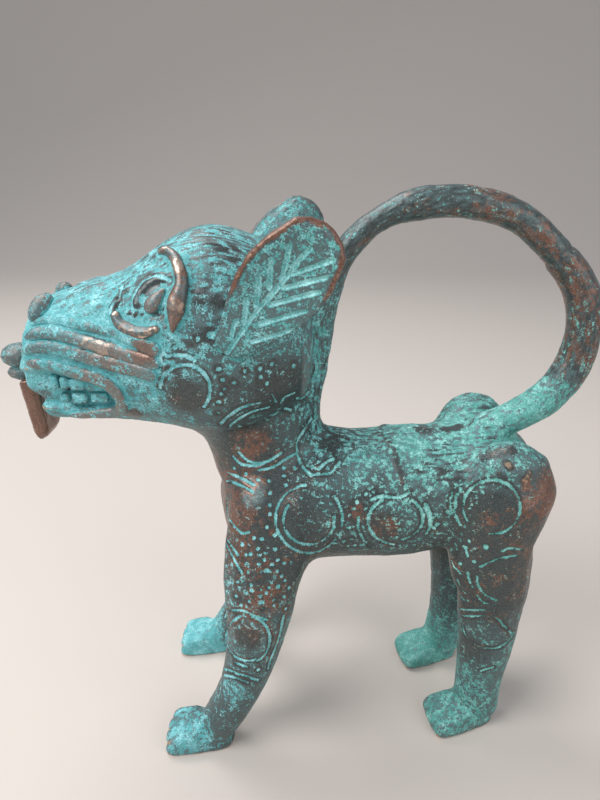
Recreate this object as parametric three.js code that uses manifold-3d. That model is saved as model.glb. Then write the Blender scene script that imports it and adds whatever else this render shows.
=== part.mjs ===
// A cast bronze leopard that stands on four paws, with its tail arched over its back to its nape.
// Millimetres, +Z up. The animal faces -X, and its left side is -Y.
// The founder shapes the figure from separate rolled and pressed pieces, laid on and let into one another.
import * as THREE from 'three';
import { mergeVertices } from 'three/addons/utils/BufferGeometryUtils.js';
import Module from 'manifold-3d';

const wasm = await Module();
wasm.setup();

// Fits
const seatGap = 0.3; // between a piece and the piece that it sits on or in

// Stance
const bellyHeight = 43.8; // ground to the underside of the trunk
const legSpacing = 51; // front leg axis to hind leg axis, along the trunk
const rightFrontLead = 2; // the right front leg stands this far ahead of the left one
const rightHindLead = 4;

// Trunk
const trunkDepth = 29; // back to belly, at the ribs
const chestDepth = 31;
const waistDepth = 29;
const rumpDepth = 22;
const chestWidth = 28;
const ribWidth = 27;
const waistWidth = 26;
const rumpWidth = 21;
const chestReach = 9.7; // chest front, ahead of the front leg axis
const rumpReach = 9; // rump end, behind the hind leg axis
const rumpRise = 0.8; // top of the rump, above the back
const chestRise = 1.5; // top of the chest, above the back
const waistRise = 1.2; // top of the waist, above the back

// Neck
const neckLength = 24.2; // fore and aft
const neckWidth = 20;
const neckBaseLength = 21.6;
const neckBaseWidth = 22;
const throatLength = 29; // the neck's length where it meets the jaw
const napeSetBack = 11.5; // nape, behind the front leg axis
const neckFootDepth = 8.5; // foot of the neck, sunk in the chest below the back
const neckHeadDepth = 8; // head of the neck, sunk in the skull above the jaw line
const neckEndRound = 2;

// Head
const jawRise = 6.4; // jaw line above the back
const throatDrop = 5; // throat below the jaw line
const chinDrop = 1.1; // chin below the jaw line
const headLength = 57.5; // back of the skull to the front of the muzzle
const skullSetBack = 11; // back of the skull, behind the front leg axis
const skullDepth = 37.3; // crown above the jaw line
const browDepth = 34.3;
const cheekDepth = 28.8;
const bridgeDepth = 25.8;
const muzzleDepth = 23.3;
const occiputDepth = 31.3;
const skullWidth = 33;
const browWidth = 30;
const cheekWidth = 25.5;
const bridgeWidth = 22.5;
const muzzleWidth = 20;
const occiputWidth = 27;
const noseRound = 4; // rounding of the muzzle's front
const occiputRound = 5; // rounding of the skull's back

// Ears
const earLength = 26;
const earWidth = 14.2;
const earRootWidth = 6.4;
const earThickness = 2.8;
const earCup = 2.2; // hollow of the ear's face
const earLean = 39; // degrees that an ear leans back from upright
const earSplay = 14; // degrees that an ear's tip stands out from the head
const earSetBack = 43; // ear's root, behind the front of the muzzle
const earRise = 19.4; // ear's root, above the jaw line
const earRootReach = 3; // of the ear's rounded root, below that
const rightEarLead = 1.5; // the right ear stands this far ahead of the left one
const rightEarRise = 0.3; // and this far above it

// Eyes
const eyeBack = 29; // eyeball's middle, behind the front of the muzzle
const eyeRise = 25; // eyeball's middle, above the jaw line
const eyeballLength = 5.6;
const eyeballWidth = 3.6;
const browRimRadius = 8.6;
const browRimThickness = 2.6;
const browRimAhead = 3.8; // centre of the rim's arc, ahead of the eyeball
const lowerLidRadius = 5.8;
const lowerLidThickness = 1.9;
const lowerLidAhead = 2; // centre of the lid's arc, ahead of the eyeball

// Muzzle
const whiskerCount = 3; // bars on each side
const whiskerLength = 23;
const whiskerThickness = 2.3;
const whiskerPitch = 2.4; // from one bar to the next
const whiskerDroop = 4.8; // fall of a bar from its front to its back end
const whiskerRise = 16.3; // front of the lowest bar, above the jaw line
const whiskerSetBack = 4; // front of the bars, behind the front of the muzzle
const lipThickness = 2.2;
const lipSetBack = 4.5; // front ends of the lip, behind the front of the muzzle
const mouthLength = 20.4; // corner of the mouth, behind the front of the muzzle
const mouthGape = 8.6; // lower lip to upper lip, at the front
const mouthRise = 3.4; // lower lip above the jaw line
const mouthDepth = 1.5; // of the hollow in each cheek that holds the teeth
const toothCount = 3; // in each row
const toothWidth = 3.2;
const toothHeight = 2.5;
const toothSetBack = 4; // front of the upper row, behind the front of the muzzle
const nostrilLength = 4.8;
const nostrilHeight = 7.4;
const nostrilSpacing = 5.6;
const nostrilSetBack = 3.9; // nostril's middle, behind the front of the muzzle
const noseLobeDiameter = 4.8;
const noseReach = 6.3; // nose, ahead of the front of the muzzle
const noseRise = 11.4; // upper lobe of the nose, above the jaw line
const tongueLength = 13.2;
const tongueWidth = 8.2;
const tongueThickness = 2.2;
const tongueRise = 6.8; // root of the tongue, above the jaw line
const tongueLean = 9; // degrees that the tongue leans back under the chin
const tongueEdge = 0.5; // bevel round the tongue

// Front legs
const frontStance = 15; // half the distance between the paws
const shoulderLength = 18.4;
const shoulderWidth = 14.4;
const elbowLength = 16;
const forearmLength = 13.2;
const forearmWidth = 12.4;
const wristLength = 10.4;
const wristWidth = 10.4;
const frontStride = 11.6; // paw's root, ahead of the leg's axis
const shoulderSetBack = 1.5; // top of the leg, behind its axis
const shoulderRound = 6;

// Hind legs
const hindStance = 10.4;
const thighLength = 19.4;
const thighWidth = 14;
const kneeLength = 15.4;
const kneeWidth = 12.6;
const kneeAhead = 1.6; // front of the thigh, ahead of the leg's axis
const shankLength = 13.4;
const hockLength = 11;
const hockWidth = 10.4;
const leftHipRise = 2.6; // top of the left hip above the back
const rightHipRise = 5.6;
const hipRound = 7;
const hindPawTurn = 12; // degrees that the hind paws turn to the animal's left
const hindSway = 1.7; // the hind paws stand this far to the animal's right

// Paws
const frontPawLength = 16.5;
const hindPawLength = 17.2;
const heelReach = 4.2; // heel behind the paw's root
const pawWidth = 11.2;
const pawHeight = 7.6; // at the instep
const toeHeight = 4.6;
const toeCount = 4;
const ankleHeight = 4; // lowest section of a leg, inside its paw
const ankleRound = 2;

// Tail
const tailLoopRadius = 26; // of the rod's centre line
const tailLoopRise = 22; // centre of the loop, above the back
const tailLoopAhead = 12.3; // centre of the loop, ahead of the hind leg axis
const tailTipThickness = 5.2;
const tailTopThickness = 6.2;
const tailJointThickness = 7; // swollen end of the front length, where the two lengths meet
const tailRearThickness = 6.6;
const tailRootThickness = 8.2;
const tailRootAngle = -70; // degrees round the loop, up from level at the back
const tailJointAngle = 38;
const tailTurnAngle = 140; // where the loop runs out towards the nape
const tailLoopBulge = 1.6; // the loop's front swells this far out of round
const tailRootTuck = 2.8; // the loop's foot is drawn in this far
const tailRearBulge = 0.6; // the loop's back swells this far out of round
const tailShoulderFlat = 1.2; // the loop is flattened this far above the joint
const tailBendRise = 34.5; // bend from the loop to the nape, above the back
const tailTipRise = 4.5; // end of the tip, above the back
const tailBendBack = 2.4; // bend, behind the line of the nape
const tailTipSunk = 1; // end of the tip, sunk ahead of the line of the nape

// Heights and places that follow from the sizes above
const backHeight = bellyHeight + trunkDepth;
const trunkAxis = bellyHeight + trunkDepth / 2;
const jawHeight = backHeight + jawRise;
const hipX = legSpacing;
const muzzleX = skullSetBack - headLength;
const left = -1;
const right = 1;

// A smooth curve through values set at stations: the value at a place between the first and the last.
function smoothValue(places, values, at) {
  const last = places.length - 1;
  const after = places.findIndex((place) => place > at);
  const k = after < 0 ? last - 1 : Math.max(after - 1, 0);
  const span = places[k + 1] - places[k];
  const t = (at - places[k]) / span;
  const slope = (n) => {
    const before = Math.max(n - 1, 0);
    const next = Math.min(n + 1, last);
    return ((values[next] - values[before]) / (places[next] - places[before])) * span;
  };
  const t2 = t * t;
  const t3 = t2 * t;
  return (2 * t3 - 3 * t2 + 1) * values[k] + (t3 - 2 * t2 + t) * slope(k)
    + (3 * t2 - 2 * t3) * values[k + 1] + (t3 - t2) * slope(k + 1);
}

// Points round an oval, squarer as its squareness passes 2.
function oval(halfA, halfB, squareness, sides) {
  const power = 2 / squareness;
  return Array.from({ length: sides }, (_, i) => {
    const angle = ((i + 0.5) / sides) * 2 * Math.PI;
    const c = Math.cos(angle);
    const s = Math.sin(angle);
    return [halfA * Math.sign(c) * Math.abs(c) ** power, halfB * Math.sign(s) * Math.abs(s) ** power];
  });
}

// A closed skin over rings of points, with a fan over each end ring.
function skin(rings) {
  const sides = rings[0].length;
  const middle = (ring) => ring.reduce((sum, p) => sum.add(p), new THREE.Vector3()).divideScalar(sides);
  const points = [...rings.flat(), middle(rings[0]), middle(rings.at(-1))];
  const firstPole = points.length - 2;
  const lastPole = points.length - 1;
  const lastRing = (rings.length - 1) * sides;
  const faces = [];
  for (let s = 0; s < sides; s += 1) {
    const n = (s + 1) % sides;
    faces.push([firstPole, n, s]);
    for (let low = 0; low < lastRing; low += sides) {
      const high = low + sides;
      faces.push([low + s, low + n, high + s], [low + n, high + n, high + s]);
    }
    faces.push([lastPole, lastRing + s, lastRing + n]);
  }
  const volume = faces.reduce((sum, [a, b, c]) => sum
    + points[a].dot(new THREE.Vector3().crossVectors(points[b], points[c])), 0);
  const outward = volume > 0 ? faces : faces.map(([a, b, c]) => [a, c, b]);
  const geometry = new THREE.BufferGeometry().setFromPoints(points);
  geometry.setIndex(outward.flat());
  return geometry;
}

// Stations that round off an end: how far each lies along the nose, and the share of the section left there.
function noseStations(count) {
  return Array.from({ length: count }, (_, i) => {
    const angle = ((i + 1) / (count + 0.35)) * (Math.PI / 2);
    return { along: Math.sin(angle), scale: Math.cos(angle) };
  });
}

// A solid lofted through oval sections that are stacked along x or z, with a rounded nose at each end.
// A section has its centre (x, y, z), half sizes a and b, and squareness. Noses are the two noses' lengths.
function loft(sections, axis, noses, { steps, sides, grow = 0, noseCount = 3 }) {
  const places = sections.map((section) => section[axis]);
  const first = places[0];
  const last = places.at(-1);
  const front = noseStations(noseCount).reverse()
    .map(({ along, scale }) => ({ at: first, shift: -along * (noses[0] + grow), scale }));
  const back = noseStations(noseCount)
    .map(({ along, scale }) => ({ at: last, shift: along * (noses[1] + grow), scale }));
  const body = Array.from({ length: steps + 1 }, (_, i) => (
    { at: first + ((last - first) * i) / steps, shift: 0, scale: 1 }));
  return skin([...front, ...body, ...back].map(({ at, shift, scale }) => {
    const read = (field) => smoothValue(places, sections.map((section) => section[field]), at);
    const ring = oval((read('a') + grow) * scale, (read('b') + grow) * scale, read('squareness'), sides);
    return ring.map(([p, q]) => (axis === 'x'
      ? new THREE.Vector3(at + shift, read('y') + p, read('z') + q)
      : new THREE.Vector3(read('x') + p, read('y') + q, at + shift)));
  }));
}

// A round rod along a curve, its thickness read from stations along the curve. Noses are in half thicknesses.
function rod(curve, places, thicknesses, { steps, sides, grow = 0, noses = [1, 1], noseCount = 2 }) {
  const ringAt = (t, shift, scale) => {
    const ahead = curve.getTangentAt(t);
    const across = new THREE.Vector3(0, 1, 0).addScaledVector(ahead, -ahead.y).normalize();
    const over = new THREE.Vector3().crossVectors(ahead, across);
    const half = (smoothValue(places, thicknesses, t) / 2 + grow) * scale;
    const centre = curve.getPointAt(t).addScaledVector(ahead, shift);
    return oval(half, half, 2, sides).map(([p, q]) => centre.clone()
      .addScaledVector(across, p).addScaledVector(over, q));
  };
  const noseRings = (end) => (noses[end] === 0 ? [] : noseStations(noseCount).map(({ along, scale }) => {
    const length = (smoothValue(places, thicknesses, end) / 2) * noses[end] + grow;
    return ringAt(end, (end * 2 - 1) * along * length, scale);
  }));
  const body = Array.from({ length: steps + 1 }, (_, i) => ringAt(i / steps, 0, 1));
  return skin([...noseRings(0).reverse(), ...body, ...noseRings(1)]);
}

// A closed mesh as a solid that can be cut and joined, and back again.
function solidOf(geometry) {
  const bare = geometry.clone();
  bare.deleteAttribute('normal');
  bare.deleteAttribute('uv');
  const merged = mergeVertices(bare);
  return new wasm.Manifold(new wasm.Mesh({
    numProp: 3,
    vertProperties: new Float32Array(merged.attributes.position.array),
    triVerts: new Uint32Array(merged.index.array),
  }));
}

function geometryOf(solid) {
  const mesh = solid.getMesh();
  const geometry = new THREE.BufferGeometry();
  geometry.setAttribute('position', new THREE.BufferAttribute(new Float32Array(mesh.vertProperties), 3));
  geometry.setIndex(new THREE.BufferAttribute(new Uint32Array(mesh.triVerts), 1));
  geometry.computeVertexNormals();
  return geometry;
}

// The largest body that is left of a solid when others are cut from it.
function cut(solid, ...others) {
  const rest = others.reduce((kept, other) => kept.subtract(other), solid);
  return rest.decompose().reduce((best, body) => (body.volume() > best.volume() ? body : best));
}

// Trunk
function trunkSolid(grow = 0) {
  const section = (x, rise, width, depth, squareness) => (
    { x, y: 0, z: backHeight + rise - depth / 2, a: width / 2, b: depth / 2, squareness });
  return solidOf(loft([
    section(0, chestRise, chestWidth, chestDepth, 2.2),
    section(legSpacing * 0.36, 0, ribWidth, trunkDepth, 2.1),
    section(legSpacing * 0.7, waistRise, waistWidth, waistDepth, 2.1),
    section(hipX + rumpReach * 0.45, rumpRise, rumpWidth, rumpDepth, 2.1),
  ], 'x', [chestReach, rumpReach * 0.55], { steps: 12, sides: 18, grow }));
}

// Neck, from inside the chest to inside the skull, with a straight nape
function neckSolid(grow = 0) {
  const section = (z, length, width) => (
    { z, x: napeSetBack - length / 2, y: 0, a: length / 2, b: width / 2, squareness: 2 });
  return solidOf(loft([
    section(backHeight - neckFootDepth, neckBaseLength, neckBaseWidth),
    section(backHeight, neckLength, neckWidth),
    section(jawHeight, throatLength, neckWidth),
    section(jawHeight + neckHeadDepth, throatLength, neckWidth),
  ], 'z', [neckEndRound, neckEndRound], { steps: 8, sides: 18, grow }));
}

// Head: sections at shares of its length from the front of the muzzle, each measured up from the jaw line
const frontShare = noseRound / headLength;
const backShare = 1 - occiputRound / headLength;
const headSections = [
  { share: frontShare, width: muzzleWidth, depth: muzzleDepth, drop: chinDrop, squareness: 3 },
  { share: 0.19, width: bridgeWidth, depth: bridgeDepth, drop: chinDrop, squareness: 2.8 },
  { share: 0.355, width: cheekWidth, depth: cheekDepth, drop: throatDrop * 0.3, squareness: 2.5 },
  { share: 0.5, width: browWidth, depth: browDepth, drop: throatDrop * 0.55, squareness: 2.4 },
  { share: 0.635, width: skullWidth, depth: skullDepth, drop: throatDrop, squareness: 2.3 },
  { share: 0.78, width: skullWidth, depth: skullDepth * 0.95, drop: throatDrop * 0.8, squareness: 2.2 },
  { share: backShare, width: occiputWidth, depth: occiputDepth, drop: 0, squareness: 2.1 },
].map(({ share, width, depth, drop, squareness }) => ({
  x: muzzleX + share * headLength,
  y: 0,
  z: jawHeight + (depth - drop) / 2,
  a: width / 2,
  b: (depth + drop) / 2,
  squareness,
}));
const headPlaces = headSections.map((section) => section.x);

function headSolid(grow = 0) {
  return solidOf(loft(headSections, 'x', [noseRound, occiputRound], { steps: 16, sides: 20, grow }));
}

// Half width of the head at a place on its side, so that what is laid on the head follows it.
function headSide(x, z) {
  const at = Math.max(x, headPlaces[0]);
  const read = (field) => smoothValue(headPlaces, headSections.map((section) => section[field]), at);
  const level = Math.min(Math.abs((z - read('z')) / read('b')), 0.96);
  return read('a') * (1 - level ** read('squareness')) ** (1 / read('squareness'));
}

// Mouth: a hollow in the muzzle behind the lips, its floor a set depth below the cheek
const lowerLipZ = jawHeight + mouthRise;
const cornerX = muzzleX + mouthLength;
function mouthHollow(inset = 0) {
  const front = muzzleX - noseReach;
  const corner = cornerX - inset;
  const low = lowerLipZ + inset;
  const gape = mouthGape - 2 * inset;
  const outline = new THREE.Shape();
  outline.moveTo(front, low);
  outline.lineTo(corner - mouthLength * 0.14, low);
  outline.quadraticCurveTo(corner, low, corner - mouthLength * 0.05, low + gape * 0.3);
  outline.quadraticCurveTo(corner - mouthLength * 0.14, low + gape * 0.9, front, low + gape);
  outline.closePath();
  const depth = skullWidth;
  const slab = new THREE.ExtrudeGeometry(outline, { depth, bevelEnabled: false, curveSegments: 4 });
  slab.translate(0, 0, -depth / 2).rotateX(Math.PI / 2);
  return solidOf(slab).subtract(headSolid(inset - mouthDepth));
}

const headWithGap = headSolid(seatGap);

// A rod laid along a path on the head's side and cut to its surface.
function laidOnHead(side, path, places, thicknesses, steps) {
  const points = path.map(([x, z]) => new THREE.Vector3(x, side * headSide(x, z), z));
  const curve = new THREE.CatmullRomCurve3(points);
  return cut(solidOf(rod(curve, places, thicknesses, { steps, sides: 6 })), headWithGap);
}

function whisker(side, row) {
  const front = muzzleX + whiskerSetBack;
  const top = jawHeight + whiskerRise + row * whiskerPitch;
  const path = [0, 0.33, 0.66, 1].map((share) => [
    front + whiskerLength * share, top - whiskerDroop * share ** 1.5,
  ]);
  const bar = laidOnHead(side, path, [0, 0.2, 0.7, 1],
    [whiskerThickness * 0.8, whiskerThickness, whiskerThickness, whiskerThickness * 0.7], 7);
  return cut(bar, nostrilSolid(side, seatGap));
}

// Lip: from the front of the upper jaw back round the corner of the mouth, and forward along the chin
function lip(side) {
  const half = lipThickness / 2;
  const upper = lowerLipZ + mouthGape + half;
  const path = [
    [muzzleX + lipSetBack, upper],
    [muzzleX + mouthLength * 0.5, upper - mouthGape * 0.13],
    [cornerX - mouthLength * 0.14, upper - mouthGape * 0.38],
    [cornerX + half * 0.6, lowerLipZ + mouthGape * 0.2],
    [cornerX - mouthLength * 0.12, lowerLipZ - half],
    [muzzleX + mouthLength * 0.5, lowerLipZ - half],
    [muzzleX + lipSetBack * 1.1, lowerLipZ - half * 0.8],
  ];
  return laidOnHead(side, path, [0, 0.5, 1], [lipThickness, lipThickness, lipThickness * 0.8], 16);
}

// A row of teeth on the floor of the mouth: flattened beads that run into one another
function toothRow(side, upper) {
  const level = lowerLipZ + (upper ? mouthGape * 0.6 : toothHeight * 0.5 + seatGap);
  const front = muzzleX + toothSetBack + (upper ? 0 : toothWidth / 2);
  let row = null;
  for (let i = 0; i < toothCount; i += 1) {
    const x = front + (i + 0.5) * toothWidth * 0.94;
    const tooth = new THREE.SphereGeometry(0.5, 8, 5);
    tooth.scale(toothWidth * 1.08, mouthDepth * 1.9, toothHeight);
    tooth.translate(x, side * (headSide(x, level) - mouthDepth * 0.9), level);
    row = row ? row.add(solidOf(tooth)) : solidOf(tooth);
  }
  return cut(row.intersect(mouthHollow(seatGap)));
}

// Points round an arc in the upright plane along the animal, between two angles in degrees
function arc(centreX, centreZ, radius, from, to, count) {
  return Array.from({ length: count + 1 }, (_, i) => {
    const angle = THREE.MathUtils.degToRad(from + ((to - from) * i) / count);
    return [centreX + radius * Math.cos(angle), centreZ + radius * Math.sin(angle)];
  });
}

// Eyes: an arched rim behind, a lid below and a slanted bead between
const eyeX = muzzleX + eyeBack;
const eyeZ = jawHeight + eyeRise;

function browRim(side) {
  const path = arc(eyeX - browRimAhead, eyeZ + browRimRadius * 0.17, browRimRadius, 62, -52, 6);
  return laidOnHead(side, path, [0, 0.4, 0.75, 1],
    [browRimThickness * 0.7, browRimThickness, browRimThickness, browRimThickness * 0.5], 10);
}

function lowerLid(side) {
  const path = arc(eyeX - lowerLidAhead, eyeZ + lowerLidRadius * 0.1, lowerLidRadius, 192, 276, 4);
  return laidOnHead(side, path, [0, 0.5, 1],
    [lowerLidThickness * 0.7, lowerLidThickness, lowerLidThickness * 0.7], 6);
}

function eyeball(side) {
  const slant = ((eyeballLength - eyeballWidth) / 2) * Math.SQRT1_2;
  const path = [[eyeX - slant, eyeZ - slant], [eyeX, eyeZ], [eyeX + slant, eyeZ + slant]];
  return laidOnHead(side, path, [0, 0.5, 1], [eyeballWidth * 0.9, eyeballWidth, eyeballWidth * 0.75], 4);
}

// Nose: an upright bead for each nostril on the top of the muzzle, and two stacked lobes in front
function nostrilSolid(side, grow = 0) {
  const long = nostrilLength + 2 * grow;
  const bead = new THREE.SphereGeometry(0.5, 14, 10).scale(long, long, nostrilHeight + 2 * grow);
  const z = jawHeight + muzzleDepth - nostrilHeight * 0.19;
  return solidOf(bead.translate(muzzleX + nostrilSetBack, (side * nostrilSpacing) / 2, z));
}

function nose(grow = 0) {
  const x = muzzleX - noseReach + noseLobeDiameter * 0.6;
  const stretch = 1 + noseReach / noseLobeDiameter;
  const upper = new THREE.SphereGeometry(noseLobeDiameter / 2 + grow, 12, 8).scale(stretch * 0.6, 1.3, 1);
  upper.translate(x, 0, jawHeight + noseRise);
  const lower = new THREE.SphereGeometry(noseLobeDiameter * 0.34 + grow, 10, 6).scale(stretch, 1.3, 1);
  lower.translate(x + noseLobeDiameter * 0.17, 0, jawHeight + noseRise - noseLobeDiameter * 0.78);
  return cut(solidOf(upper).add(solidOf(lower)), headWithGap);
}

// Tongue: a thick strap with a rounded end, hung over the lower lip
function tongue() {
  const half = tongueWidth / 2;
  const outline = new THREE.Shape();
  outline.moveTo(-half * 0.85, 0);
  outline.lineTo(-half, -tongueLength * 0.75);
  outline.quadraticCurveTo(-half, -tongueLength, -half * 0.5, -tongueLength);
  outline.lineTo(half * 0.5, -tongueLength);
  outline.quadraticCurveTo(half, -tongueLength, half, -tongueLength * 0.75);
  outline.lineTo(half * 0.85, 0);
  outline.closePath();
  const plate = new THREE.ExtrudeGeometry(outline, {
    depth: tongueThickness - 2 * tongueEdge,
    bevelThickness: tongueEdge,
    bevelSize: tongueEdge,
    bevelOffset: -tongueEdge,
    bevelSegments: 1,
    curveSegments: 5,
  });
  plate.rotateX(Math.PI / 2).rotateZ(-Math.PI / 2).rotateY(THREE.MathUtils.degToRad(-tongueLean));
  plate.translate(muzzleX - tongueThickness * 0.5, 0, jawHeight + tongueRise);
  return cut(solidOf(plate), headWithGap, nose(seatGap));
}

// Ears: a cupped leaf, lofted upright, then splayed out and leaned back from the side of the skull
function ear(side) {
  const thick = earThickness / 2;
  const leaf = loft([
    { z: 0, x: 0, y: 0, a: earRootWidth / 2, b: thick, squareness: 2 },
    { z: earLength * 0.35, x: 0, y: 0, a: earWidth * 0.43, b: thick, squareness: 2 },
    { z: earLength * 0.62, x: 0, y: 0, a: earWidth / 2, b: thick, squareness: 2 },
    { z: earLength * 0.86, x: 0, y: 0, a: earWidth * 0.38, b: thick, squareness: 2 },
  ], 'z', [earRootReach, earLength * 0.14], { steps: 6, sides: 12 });
  const position = leaf.attributes.position;
  for (let i = 0; i < position.count; i += 1) {
    const across = position.getX(i) / (earWidth / 2);
    position.setY(i, position.getY(i) + side * earCup * across * across);
  }
  const rootX = muzzleX + earSetBack - (side === right ? rightEarLead : 0);
  const rootZ = jawHeight + earRise + (side === right ? rightEarRise : 0);
  leaf.rotateX(THREE.MathUtils.degToRad(-side * earSplay));
  leaf.rotateY(THREE.MathUtils.degToRad(earLean));
  leaf.translate(rootX, side * (headSide(rootX, rootZ) + thick * 0.4), rootZ);
  return cut(solidOf(leaf), headWithGap);
}

// Paws: a wedge that rises from the toes to the instep, with a row of rounded toes, turned about its root
function paw(x, y, length, turn, grow) {
  const toeTip = heelReach - length;
  const section = (share, centre, z, width, height, squareness) => (
    { x: toeTip + length * share, y: centre, z, a: width / 2, b: height, squareness });
  const place = (geometry) => solidOf(geometry.rotateZ(THREE.MathUtils.degToRad(turn)).translate(x, y, 0));
  let whole = place(loft([
    section(0.18, 0, 0, pawWidth * 0.96, toeHeight, 2.8),
    section(0.5, 0, 0, pawWidth * 0.88, pawHeight * 0.9, 2.4),
    section(0.82, 0, 0, pawWidth * 0.72, pawHeight, 2.2),
  ], 'x', [length * 0.13, length * 0.18], { steps: 4, sides: 12, grow, noseCount: 2 }));
  const pitch = (pawWidth * 0.98) / toeCount;
  for (let i = 0; i < toeCount; i += 1) {
    const off = i - (toeCount - 1) / 2;
    whole = whole.add(place(loft([
      section(0.12 + Math.abs(off) * 0.03, off * pitch, toeHeight * 0.2, pitch * 1.04, toeHeight * 0.8, 2),
      section(0.45, off * pitch * 0.9, toeHeight * 0.2, pitch, toeHeight * 1.1, 2),
    ], 'x', [length * 0.12, length * 0.12], { steps: 2, sides: 7, grow, noseCount: 2 })));
  }
  return whole;
}

const groundSize = 4 * (legSpacing + headLength);
const groundBlock = new THREE.BoxGeometry(groundSize, groundSize, groundSize);
const ground = solidOf(groundBlock.translate(0, 0, -groundSize / 2));

// A section of a leg: its height, centre and sizes fore and aft and across.
function legSection(z, x, y, length, width) {
  return { z, x, y, a: length / 2, b: width / 2, squareness: 2 };
}

// Legs: an upright loft from the ankle into the trunk, with a paw, cut level at the ground
function frontLeg(side, grow = 0) {
  const pawX = -frontStride - (side === right ? rightFrontLead : 0);
  const y = side * frontStance;
  const sunk = (share) => bellyHeight + trunkDepth * share;
  const leg = loft([
    legSection(ankleHeight, pawX, y, wristLength * 0.95, wristWidth * 0.9),
    legSection(bellyHeight * 0.3, pawX * 0.58, y, wristLength, wristWidth),
    legSection(bellyHeight * 0.45, pawX * 0.36, y * 0.98, wristLength * 1.03, wristWidth * 1.05),
    legSection(bellyHeight * 0.71, pawX * 0.13, y * 0.95, forearmLength, forearmWidth),
    legSection(bellyHeight, shoulderSetBack * 0.3, y * 0.86, elbowLength, shoulderWidth * 0.95),
    legSection(sunk(0.24), shoulderSetBack, y * 0.75, shoulderLength, shoulderWidth),
    legSection(sunk(0.62), shoulderSetBack, y * 0.62, shoulderLength * 0.9, shoulderWidth * 0.92),
  ], 'z', [ankleRound, shoulderRound], { steps: 12, sides: 12, grow });
  return cut(solidOf(leg).add(paw(pawX, y, frontPawLength, 0, grow)), ground);
}

function hindLeg(side, grow = 0) {
  const lead = side === right ? -rightHindLead : 0;
  const y = side * hindStance;
  const pawX = hipX + lead;
  const pawY = y + hindSway;
  const hipZ = backHeight + (side === right ? rightHipRise : leftHipRise) - hipRound;
  const sunk = (share) => bellyHeight + trunkDepth * share;
  const leg = loft([
    legSection(ankleHeight, pawX, pawY, hockLength * 0.98, hockWidth * 0.95),
    legSection(bellyHeight * 0.3, hipX + lead * 0.6, pawY, hockLength, hockWidth),
    legSection(bellyHeight * 0.63, hipX + lead * 0.5, pawY * 0.6 + y * 0.4, shankLength, kneeWidth * 0.94),
    legSection(bellyHeight * 0.93, hipX + lead * 0.6 - kneeAhead * 0.4, y, kneeLength, kneeWidth),
    legSection(sunk(0.31), hipX + lead * 0.6 - kneeAhead, y, thighLength * 0.91, thighWidth * 0.95),
    legSection(sunk(0.7), hipX + lead * 0.4, y * 0.97, thighLength, thighWidth),
    legSection(hipZ, hipX + lead * 0.7 - kneeAhead * 0.5, y * 0.92, thighLength * 0.84, thighWidth * 0.84),
  ], 'z', [ankleRound, hipRound], { steps: 13, sides: 12, grow });
  return cut(solidOf(leg).add(paw(pawX, pawY, hindPawLength, hindPawTurn, grow)), ground);
}

// Tail: a round loop that runs out into a tip down the nape, in two lengths that meet at a swollen joint
const loopX = hipX - tailLoopAhead;
const loopZ = backHeight + tailLoopRise;
const loopStations = [
  [tailRootAngle, -tailRootTuck],
  [tailRootAngle * 0.7, -tailRootTuck * 0.66],
  [tailRootAngle * 0.4, 0],
  [-15, tailRearBulge],
  [15, tailRearBulge],
  [tailJointAngle - 5, -tailShoulderFlat * 0.4],
  [tailJointAngle + 5, -tailShoulderFlat],
  [65, -tailShoulderFlat * 0.6],
  [90, -tailShoulderFlat * 0.2],
  [125, tailLoopBulge],
  [tailTurnAngle, tailLoopBulge],
];
function loopPoints(from, to) {
  const count = Math.ceil(Math.abs(to - from) / 3);
  return Array.from({ length: count + 1 }, (_, i) => {
    const angle = from + ((to - from) * i) / count;
    const out = smoothValue(loopStations.map(([at]) => at), loopStations.map(([, value]) => value), angle);
    const [[x, z]] = arc(loopX, loopZ, tailLoopRadius + out, angle, angle, 1);
    return new THREE.Vector3(x, 0, z);
  });
}
const jointHalfGap = THREE.MathUtils.radToDeg(seatGap / 2 / tailLoopRadius);

function tailRear(grow = 0) {
  const curve = new THREE.CatmullRomCurve3(loopPoints(tailRootAngle, tailJointAngle - jointHalfGap));
  return solidOf(rod(curve, [0, 0.25, 1], [tailRootThickness, tailRootThickness * 0.95, tailRearThickness],
    { steps: 12, sides: 10, grow, noses: [0.5, 0] }));
}

function tailFront() {
  const loop = loopPoints(tailJointAngle + jointHalfGap, tailTurnAngle);
  const onNape = (back, rise) => new THREE.Vector3(napeSetBack + back, 0, backHeight + rise);
  const bend = onNape(tailBendBack + tailTipThickness * 0.1, tailBendRise);
  const middle = onNape(0, (tailBendRise + tailTipRise) / 2);
  const tip = onNape(-tailTipSunk, tailTipRise);
  const curve = new THREE.CatmullRomCurve3([...loop, bend, middle, tip]);
  return solidOf(rod(curve, [0, 0.1, 0.2, 0.6, 1],
    [tailJointThickness, tailJointThickness, tailTopThickness, tailTopThickness, tailTipThickness],
    { steps: 22, sides: 10, noses: [0, 1] }));
}

// Finish
const patina = new THREE.MeshStandardMaterial({ color: 0x3f8f83, roughness: 0.7, metalness: 0.35 });
const wornBronze = new THREE.MeshStandardMaterial({ color: 0x8a6242, roughness: 0.4, metalness: 0.85 });

const leopard = new THREE.Group();
function addPiece(name, solid, material) {
  const mesh = new THREE.Mesh(geometryOf(solid), material);
  mesh.name = name;
  leopard.add(mesh);
}

const sides = [['left', left], ['right', right]];
const legsWithGap = sides.flatMap(([, side]) => [frontLeg(side, seatGap), hindLeg(side, seatGap)]);
const neckWithGap = neckSolid(seatGap);
const trunkWithGap = trunkSolid(seatGap);

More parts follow.
